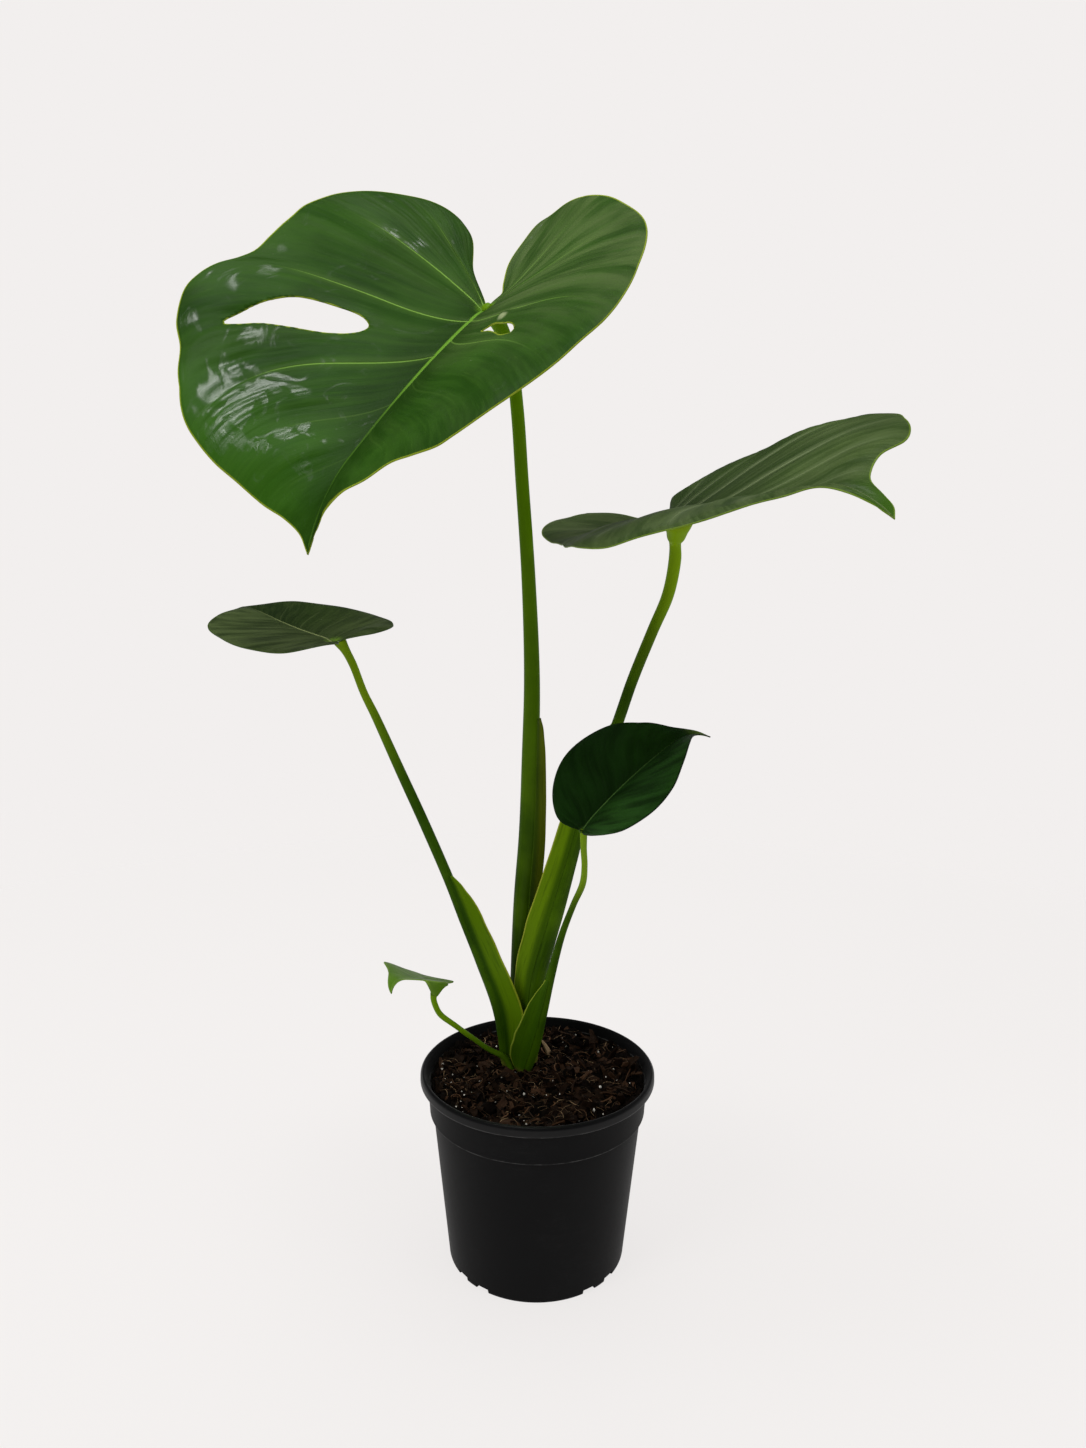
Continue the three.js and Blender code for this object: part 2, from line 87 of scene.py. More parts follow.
# Every column of a table, read off at other steps than its own
def readOff(table, wanted, steps):
    return np.column_stack([np.interp(wanted, steps, column) for column in table.T])


# The same curve with evenly spaced points: each column is read off along the run of its length
def evenly(curve, count):
    steps = np.linalg.norm(np.diff(curve[:, :3], axis=0), axis=1)
    run = np.append(0, np.cumsum(steps))
    return readOff(curve, np.linspace(0, run[-1], count), run)


# Evenly spaced angles of a whole turn
def wholeTurn(count):
    return np.linspace(0, 2 * np.pi, count, endpoint=False)


# The place at each angle on a circle round the middle: radius (cos a, sin a)
def onCircle(angle, radius=1.0):
    return np.stack([radius * np.cos(angle), radius * np.sin(angle)], axis=-1)


# Directions of length 1
def unit(ways):
    return ways / np.maximum(np.linalg.norm(ways, axis=-1, keepdims=True), 1e-12)


# 1 at a gap of 0, falling off over its reach: exp(-(gap / reach)^2)
def hump(gap, reach):
    return np.exp(-((gap / reach) ** 2))


# 0 below the first edge, 1 above the second, and an S-curve between them
def smoothStep(value, low, high):
    share = np.clip((value - low) / (high - low), 0, 1)
    return share * share * (3 - 2 * share)


# Four-cornered faces of a grid of point numbers, row by row
def gridFaces(index):
    corners = [index[:-1, :-1], index[1:, :-1], index[1:, 1:], index[:-1, 1:]]
    return np.stack(corners, axis=-1).reshape(-1, 4)


# The same for a grid whose last column joins its first
def roundFaces(index):
    return gridFaces(np.column_stack([index, index[:, 0]]))


# Three-cornered faces from a closed ring of points to one point
def fanFaces(ring, point):
    return np.column_stack([ring, np.full(len(ring), point), np.roll(ring, -1)])


# A direction straight out of each point: the sum of the crossed diagonals of the faces round it
def pointNormals(points, faces):
    first = points[faces[:, 2]] - points[faces[:, 0]]
    second = points[faces[:, -1]] - points[faces[:, 1]]
    across = np.cross(first, second)
    total = np.zeros_like(points)
    for corner in faces.T:
        np.add.at(total, corner, across)
    return unit(total)


# Face edges, in face order, that no other face shares
def openEdges(faces):
    edges = np.stack([faces, np.roll(faces, -1, axis=1)], axis=-1).reshape(-1, 2)
    key = np.sort(edges, axis=1)
    key = key[:, 0] * (faces.max() + 1) + key[:, 1]
    order, count = np.unique(key, return_counts=True)
    return edges[np.isin(key, order[count == 1])]


# A closed thin body from a sheet: one face moved out by above, one in by below, and a rim
def thicken(points, faces, above, below):
    normals = pointNormals(points, faces)
    upper = points + normals * np.reshape(above, (-1, 1))
    lower = points - normals * np.reshape(below, (-1, 1))
    count = len(points)
    a, b = openEdges(faces).T
    rim = np.column_stack([b, a, a + count, b + count])
    return np.vstack([upper, lower]), faces, faces[:, ::-1] + count, rim


# Which places lie inside a closed outline: a level ray from them crosses it an odd number of times
def insideOutline(places, outline):
    ends = np.roll(outline, -1, axis=0)
    x, y = places[:, :1], places[:, 1:2]
    crosses = (outline[:, 1] > y) != (ends[:, 1] > y)
    rise = np.where(ends[:, 1] == outline[:, 1], 1e-9, ends[:, 1] - outline[:, 1])
    at = outline[:, 0] + (y - outline[:, 1]) * (ends[:, 0] - outline[:, 0]) / rise
    return (crosses & (x < at)).sum(axis=1) % 2 == 1


# Opens outlined holes in a flat grid: faces whose middle is inside go, and the points left on
# the border or inside move onto the outline
def openHoles(flat, faces, outlines):
    flat = flat.copy()
    for outline in outlines:
        gone = insideOutline(flat[faces].mean(axis=1), outline)
        kept = np.unique(faces[~gone])
        inside = kept[insideOutline(flat[kept], outline)]
        border = np.union1d(np.intersect1d(faces[gone], kept), inside)
        away = np.linalg.norm(flat[border][:, None] - outline[None], axis=2)
        flat[border] = outline[away.argmin(axis=1)]
        faces = faces[~gone]
    return flat, faces


# Sums sine waves in random directions into a bumpy field, mostly between -1 and 1
def ripples(places, size, seed, waves=14):
    chance = np.random.default_rng(seed)
    ways = chance.normal(size=(waves, places.shape[1])) / size
    starts = chance.uniform(0, 2 * np.pi, waves)
    return np.sin(places @ ways.T * 2 + starts).sum(axis=1) / np.sqrt(waves)


# Puts point and face arrays into a mesh object that rides on the body. Each group of faces is
# (faces, material number, smooth or not).
def makePiece(name, points, groups, materials, attributes=None, surfaceMap=None):
    used = np.unique(np.concatenate([faces.ravel() for faces, _, _ in groups]))
    renumber = np.zeros(len(points), int)
    renumber[used] = np.arange(len(used))
    groups = [(renumber[faces], number, smooth) for faces, number, smooth in groups]
    mesh = bpy.data.meshes.new(name)
    mesh.from_pydata((points[used] * mm).tolist(), [], sum((faces.tolist() for faces, _, _ in groups), []))
    numbers = np.concatenate([np.full(len(faces), number) for faces, number, _ in groups])
    smooths = np.concatenate([np.full(len(faces), smooth) for faces, _, smooth in groups])
    mesh.polygons.foreach_set("material_index", numbers.astype(np.int32))
    mesh.polygons.foreach_set("use_smooth", smooths.astype(bool))
    for label, values in (attributes or {}).items():
        values = np.asarray(values, np.float32)[used]
        mesh.attributes.new(label, "FLOAT", "POINT").data.foreach_set("value", values)
    if surfaceMap is not None:
        corners = np.zeros(len(mesh.loops), np.int32)
        mesh.loops.foreach_get("vertex_index", corners)
        layer = mesh.uv_layers.new(name="surface")
        layer.data.foreach_set("uv", surfaceMap[used][corners].astype(np.float32).ravel())
    for material in materials:
        mesh.materials.append(material)
    mesh.update()
    piece = bpy.data.objects.new(name, mesh)
    scene.collection.objects.link(piece)
    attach(piece, "root")
    return piece


# Words for node trees. Each adds a node to the tree that it is given, or else to the tree of
# its first value, and gives the output.

def put(tree, kind, inputs=None, **settings):
    made = tree.nodes.new(kind)
    for key, value in settings.items():
        setattr(made, key, value)
    for key, value in (inputs or {}).items():
        if isinstance(value, bpy.types.NodeSocket):
            tree.links.new(value, made.inputs[key])
        else:
            made.inputs[key].default_value = value
    return made


# A new material with fixed values on sockets of its shader
def newMaterial(name, fixed):
    material = bpy.data.materials.new(name)
    material.use_nodes = True
    tree = material.node_tree
    for socket, value in fixed.items():
        tree.nodes["Principled BSDF"].inputs[socket].default_value = value
    return material, tree


# Wires outputs to the sockets of a material's shader
def wire(material, outputs):
    tree = material.node_tree
    for socket, output in outputs.items():
        tree.links.new(output, tree.nodes["Principled BSDF"].inputs[socket])
    return material


# Wires a colour, a roughness and a height, which stands depth metres high at a share of 1
def finish(material, body, rough, height, depth, share):
    inputs = {"Height": height, "Distance": depth, "Strength": share}
    normal = put(material.node_tree, "ShaderNodeBump", inputs).outputs["Normal"]
    return wire(material, {"Base Color": body, "Roughness": rough, "Normal": normal})


def objectPlace(tree):
    return put(tree, "ShaderNodeTexCoord").outputs["Object"]


def readAttribute(tree, name):
    return put(tree, "ShaderNodeAttribute", attribute_name=name).outputs["Fac"]


def stretched(place, scale, turn=(0, 0, 0)):
    inputs = {"Vector": place, "Rotation": turn, "Scale": scale}
    return put(place.id_data, "ShaderNodeMapping", inputs).outputs["Vector"]


def noiseOf(place, scale, detail=3.0, roughness=0.55, distortion=0.0):
    inputs = {"Vector": place, "Scale": scale, "Detail": detail, "Roughness": roughness}
    inputs["Distortion"] = distortion
    return put(place.id_data, "ShaderNodeTexNoise", inputs).outputs["Fac"]


# Noise on the piece's surface map, finer across the surface than along it
def streakNoise(tree, across, along, detail, roughness, distortion=0.0):
    place = put(tree, "ShaderNodeUVMap", uv_map="surface").outputs["UV"]
    return noiseOf(stretched(place, (across, along, 1)), 1.0, detail, roughness, distortion)


def lengthOf(place):
    return put(place.id_data, "ShaderNodeVectorMath", {0: place}, operation="LENGTH").outputs["Value"]


def cellGap(place, scale):
    inputs = {"Vector": place, "Scale": scale}
    return put(place.id_data, "ShaderNodeTexVoronoi", inputs).outputs["Distance"]


# A value's way from low to high, as an S-curve from start to end
def spread(value, low, high, start=0.0, end=1.0):
    inputs = {"Value": value, "From Min": low, "From Max": high, "To Min": start, "To Max": end}
    made = put(value.id_data, "ShaderNodeMapRange", inputs, interpolation_type="SMOOTHSTEP")
    return made.outputs["Result"]


def reckon(operation, first, second=0.0, third=0.0, clamp=False):
    inputs = {0: first, 1: second, 2: third}
    made = put(first.id_data, "ShaderNodeMath", inputs, operation=operation, use_clamp=clamp)
    return made.outputs["Value"]


def times(first, second):
    return reckon("MULTIPLY", first, second)


def timesPlus(first, second, third):
    return reckon("MULTIPLY_ADD", first, second, third)


# The linear colour of red, green and blue out of 255
def color(red, green, blue):
    share = np.array([red, green, blue]) / 255
    linear = np.where(share <= 0.04045, share / 12.92, ((share + 0.055) / 1.055) ** 2.4)
    return (*linear.tolist(), 1.0)


# Two colours mixed by a factor: each is an output, or red, green and blue out of 255
def tint(factor, *colors):
    inputs = {0: factor}
    for socket, value in zip((6, 7), colors):
        inputs[socket] = value if isinstance(value, bpy.types.NodeSocket) else color(*value)
    return put(factor.id_data, "ShaderNodeMix", inputs, data_type="RGBA").outputs[2]


# Layers of (share, colour), laid over a colour one after another
def layered(body, *layers):
    for share, shade in layers:
        body = tint(share, body, shade)
    return body


# Leaf blades

# An evenly bending line: its slope starts at slope and turns by bend for each millimetre.
# along = (sin end - sin slope) / bend, rise = (cos slope - cos end) / bend
def arc(slope, bend, length):
    bend = bend if abs(bend) > 1e-9 else 1e-9
    end = slope + bend * length
    return (np.sin(end) - np.sin(slope)) / bend, (np.cos(slope) - np.cos(end)) / bend, end


# The way a blade faces: to its tip, to its left, and out of its upper face
def bladeAxes(leaf):
    heading, pitch, roll = np.radians([leaf["heading"], leaf["pitch"], leaf["roll"]])
    level = np.cos(pitch)
    tip = np.array([level * np.cos(heading), level * np.sin(heading), np.sin(pitch)])
    flatLeft = np.array([-np.sin(heading), np.cos(heading), 0])
    left = flatLeft * np.cos(roll) + np.cross(tip, flatLeft) * np.sin(roll)
    return tip, left, np.cross(tip, left)


# What all the blades share. The midrib starts to bend down to its tip at bendStart, and the last
# row leaves it at ribEnd. The fold is rounded by valleyRadius. Rows are also spread over the midrib
# by ribPace, and none lies within closest of a pace of a vein's row.
bladeRules = dict(
    marginPoints=1600, spanPoints=12, holePoints=400, holeReach=60, columnSpacing=1.35, bendStart=0.72,
    ribEnd=0.985, halfSheet=0.3, valleyRadius=4, waveTurns=7, ribPace=0.15, closest=0.4,
)


# Where flat places (s along the midrib, t to the left) come to lie on the bent blade: the midrib
# is three arcs, each half is an arc that starts at its fold, and the margin waves
def bladePoints(leaf, s, t):
    tip, left, up = bladeAxes(leaf)
    length = leaf["length"]
    bendStart = bladeRules["bendStart"] * length
    behindAlong, behindDrop, behindEnd = arc(0, leaf["lobeDroop"] / length, np.minimum(s, 0))
    midAlong, midDrop, midEnd = arc(0, leaf["droop"] / length, np.clip(s, 0, bendStart))
    tipBend = leaf["droop"] / length + leaf["tipDroop"] / (length - bendStart)
    tipAlong, tipDrop, tipEnd = arc(midEnd, tipBend, np.maximum(s - bendStart, 0))
    along = np.where(s < 0, behindAlong, midAlong + tipAlong)
    drop = np.where(s < 0, behindDrop, midDrop + tipDrop)
    slope = np.where(s < 0, behindEnd, tipEnd)
    right = t < 0
    fold = np.where(right, leaf["folds"][1], leaf["folds"][0])
    curl = np.where(right, leaf["curls"][1], leaf["curls"][0]) / length
    outward = (np.sin(fold + curl * abs(t)) - np.sin(fold)) / curl * np.sign(t)
    valley = np.hypot(t, bladeRules["valleyRadius"]) - bladeRules["valleyRadius"]
    wave = np.sin(bladeRules["waveTurns"] * s / length + right)
    wave = leaf["waves"] * (abs(t) / (0.5 * length)) ** 2 * wave
    lift = (np.cos(fold) - np.cos(fold + curl * valley)) / curl + wave
    upHere = np.cos(slope)[:, None] * up + np.sin(slope)[:, None] * tip
    return (
        np.array(leaf["base"])
        + along[:, None] * tip - drop[:, None] * up
        + outward[:, None] * left + lift[:, None] * upHere
    )


# A half's margin as even steps, the stations of its veins and where on the margin they end
def marginMarks(leaf, side):
    margin = curveThrough(leaf[side + "Margin"], bladeRules["spanPoints"])
    margin = evenly(margin, bladeRules["marginPoints"])
    veins = np.array(leaf[side + "Veins"], float)
    away = np.linalg.norm(veins[:, None, 1:3] - margin[None], axis=2)
    shares = away.argmin(axis=1) / (len(margin) - 1)
    shares[-1] = 1
    return margin, veins, shares


# Stations of the rows, closer where the margins are long: the stretches between the veins take
# rows by the length of both margins and a little by the length of the midrib. A row that would
# almost lie on a vein's own row is left out.
def rowStations(leaf):
    fine = np.linspace(-1, 1, 2001)
    pace = bladeRules["ribPace"] * (fine + 1)
    for side in ("left", "right"):
        _, veins, shares = marginMarks(leaf, side)
        pace = pace + np.interp(fine, veins[:, 0], shares)
    pace = (pace - pace[0]) / (pace[-1] - pace[0])
    marks = np.unique([vein[0] for vein in leaf["leftVeins"] + leaf["rightVeins"]])
    steps = np.linspace(0, 1, leaf["rows"])
    away = abs(steps[:, None] - np.interp(marks, fine, pace)[None]).min(axis=1)
    even = np.interp(steps[away > bladeRules["closest"] / leaf["rows"]], pace, fine)
    return np.unique(np.concatenate([even, marks]))


# One half of a flat blade as rows that run like its side veins, from the midrib to the margin.
# A row starts at its station on the midrib (below 0 it starts on a small ring round the stalk),
# leaves the midrib a little towards the tip, ends on the margin where its veins end, and sweeps
# towards the tip near its end. The first row is the edge of the sinus, and its shape fades into
# the rows after it, the sooner the nearer the margin. It gives the flat rows, the count of veins
# passed, the gap to the nearest vein and its strength, the gap to the rim and the width of the
# stretch between two veins.
def halfBlade(leaf, side, stations, outs):
    margin, veins, shares = marginMarks(leaf, side)
    marks = veins[:, 0]
    share = np.interp(stations, marks, shares)
    sweep = np.interp(stations, marks, veins[:, 3])
    length, ring = leaf["length"], leaf["ring"]
    sign = 1 if side == "left" else -1
    turn = np.pi * np.clip(-stations, 0, 1)
    ahead = ring + (bladeRules["ribEnd"] * length - ring) * np.clip(stations, 0, 1)
    tipSide = leaf["leftMargin"][-1][1] * (ahead / length) ** 4
    starts = np.column_stack([
        np.where(stations < 0, ring * np.cos(turn), ahead),
        np.where(stations < 0, sign * ring * np.sin(turn), tipSide),
    ])
    steps = np.arange(len(margin))
    ends = readOff(margin, share * steps[-1], steps)
    chord = ends - starts
    sideways = np.column_stack([-chord[:, 1], chord[:, 0]]) * sign
    bends = starts + 0.75 * chord + sideways * sweep[:, None]
    u = outs[None, :, None]
    rows = (1 - u) ** 2 * starts[:, None] + 2 * u * (1 - u) * bends[:, None] + u**2 * ends[:, None]
    edge = readOff(margin, outs * share[0] * steps[-1], steps)
    edge = edge + (1 - outs)[:, None] ** 6 * (starts[0] - edge[0])
    lead = leaf["veinLead"] * smoothStep(stations, -0.2, 0.05) * (1 - smoothStep(stations, 0.4, 0.9))
    early = 17.6 * outs * (1 - outs) ** 6  # 1 at its peak, a seventh of the way out
    rows[:, :, 0] += lead[:, None] * early[None]
    span = (leaf["sinusFade"] + 1) * (1 - outs**3) + 0.03
    fade = 1 - smoothStep(stations[:, None], -1, -1 + span[None])
    rows = rows + fade[:, :, None] * (edge - rows[0])[None]
    phase = np.interp(stations, marks, np.arange(len(marks)))
    nearest = np.round(phase).astype(int)
    veinRows = np.searchsorted(stations, marks)
    gap = np.linalg.norm(rows - rows[veinRows[nearest]], axis=2)
    strength = np.repeat(veins[nearest, 4:], len(outs), axis=1)
    passed = np.repeat(phase[:, None], len(outs), axis=1)
    toMargin = np.linalg.norm(rows - rows[:, -1:], axis=2)
    toSinus = np.linalg.norm(rows - rows[:1], axis=2)
    stretches = np.linalg.norm(np.diff(rows[veinRows], axis=0), axis=2)
    at = np.clip(phase - 0.5, 0, len(stretches) - 1.001)
    low, part = at.astype(int), (at % 1)[:, None]
    width = (1 - part) * stretches[low] + part * stretches[low + 1]
    return rows, passed, gap, strength, np.minimum(toMargin, toSinus), width


# 1 at a spot of the flat blade, fading with the distance over its reach
def spotAt(flat, spot, reach):
    return hump(np.linalg.norm(flat - np.array(spot), axis=1), reach)


# Relief of a blade's sheet, in millimetres: it swells between the side veins, crumples along them,
# rolls down at the margin and sinks along the midrib and the stronger side veins
def bladeRelief(leaf, flat, phase, out, ribGap, rimGap, veinGap, strength, width):
    calm = smoothStep(width, 8, 42)
    swell = calm * np.sin(np.pi * phase) ** 2 * np.sin(np.pi * np.clip(out, 0, 1) ** 0.8)
    broad = ripples(np.column_stack([phase * 8, out * 2.4]), 1.0, leaf["seed"])
    fine = ripples(np.column_stack([phase * 19, out * 4.2]), 1.0, leaf["seed"] + 2)
    here = sum(spotAt(flat, spot[:2], spot[2]) for spot in leaf["crumpleSpots"])
    crumple = calm * (broad + 0.5 * fine) * smoothStep(out, 0.06, 0.4) * (0.25 + 0.75 * here)
    crumple = crumple * (1 - smoothStep(out, 0.86, 1.0))
    wander = ripples(flat, 26, leaf["seed"] + 1)
    roll = -hump(rimGap, 4) * smoothStep(np.hypot(flat[:, 0], flat[:, 1]), 6, 20)
    valley = hump(ribGap, 2.2)
    groove = strength * (1 - out) * hump(veinGap, 1.6)
    return (
        leaf["swell"] * swell + leaf["crumple"] * crumple + leaf["wander"] * wander * out
        + leaf["rimRoll"] * roll - 0.35 * valley - 0.5 * groove
    )


# A whole blade: both halves on shared midrib points, bent, given its relief and thickened, with
# a rib that stands out of the underside
def makeBlade(number, leaf, look):
    stations = rowStations(leaf)
    outs = np.linspace(0, 1, leaf["columns"]) ** bladeRules["columnSpacing"]
    halves = [halfBlade(leaf, side, stations, outs) for side in ("left", "right")]
    shape = halves[0][0].shape[:2]
    count = shape[0] * shape[1]
    leftIndex = np.arange(count).reshape(shape)
    rightIndex = leftIndex + count
    shared = stations >= 0
    rightIndex[shared, 0] = leftIndex[shared, 0]
    rightIndex[-1] = leftIndex[-1]
    flat = np.vstack([half[0].reshape(-1, 2) for half in halves])
    phase, veinGap, strength, rimGap, width = (
        np.concatenate([half[column].ravel() for half in halves]) for column in range(1, 6)
    )
    out = np.tile(outs, 2 * shape[0])
    faces = np.vstack([gridFaces(leftIndex), gridFaces(rightIndex)[:, ::-1]])
    loops = [curveThrough(hole, bladeRules["spanPoints"], closed=True) for hole in leaf.get("holes", [])]
    holes = [evenly(np.vstack([loop, loop[:1]]), bladeRules["holePoints"]) for loop in loops]
    flat, faces = openHoles(flat, faces, holes)
    for hole in holes:
        fromMiddle = np.linalg.norm(flat - hole.mean(axis=0), axis=1)
        near = np.flatnonzero(fromMiddle < bladeRules["holeReach"])
        away = np.linalg.norm(flat[near][:, None] - hole[None, ::4], axis=2).min(axis=1)
        rimGap[near] = np.minimum(rimGap[near], away)
    ahead = np.clip(flat[:, 0] / leaf["length"], 0, 1)
    jointGap = np.hypot(flat[:, 0], flat[:, 1])
    ribGap = np.abs(flat[:, 1] - leaf["leftMargin"][-1][1] * ahead**4)
    ribGap = np.where(flat[:, 0] > 0, ribGap, jointGap)
    sheet = bladePoints(leaf, flat[:, 0], flat[:, 1])
    relief = bladeRelief(leaf, flat, phase, out, ribGap, rimGap, veinGap, strength, width)
    sheet = sheet + pointNormals(sheet, faces) * relief[:, None]
    for s, t, reach, height in leaf["lifts"]:
        sheet[:, 2] += height * spotAt(flat, (s, t), reach)
    curl, gloss = (
        sum([spotAt(flat, spot[:2], spot[2]) for spot in leaf.get(spots, [])], np.zeros(len(flat)))
        for spots in ("curledSpots", "glossSpots")
    )
    ribHeight = leaf["ribHeight"] * (1 - 0.8 * ahead) * hump(ribGap, 2.2 - 1.2 * ahead)
    veinHeight = 0.5 * strength * leaf["ribHeight"] * (1 - 0.9 * out) * hump(veinGap, 1.1)
    above = np.full(len(sheet), bladeRules["halfSheet"])
    points, upper, lower, rim = thicken(sheet, faces, above, above + np.maximum(ribHeight, veinHeight))
    onOneFace = dict(
        veinGap=veinGap, ribGap=ribGap, rimGap=rimGap, outward=out, ahead=ahead, veinStrength=strength,
        jointGap=jointGap, leftHalf=np.repeat([1, 0], count), curl=curl, gloss=gloss,
    )
    attributes = {name: np.tile(values, 2) for name, values in onOneFace.items()}
    surfaceMap = np.tile(np.column_stack([phase * 0.1, out]), (2, 1))
    piece = makePiece(
        f"leafBlade{number}", points, [(upper, 0, True), (lower, 1, True), (rim, 0, False)],
        [upperMaterial(number, look), underMaterial(number, look)], attributes, surfaceMap,
    )
    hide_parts(f"blade_{number}")
    print(f"leaf blade {number}: {len(upper)} cells on each face")


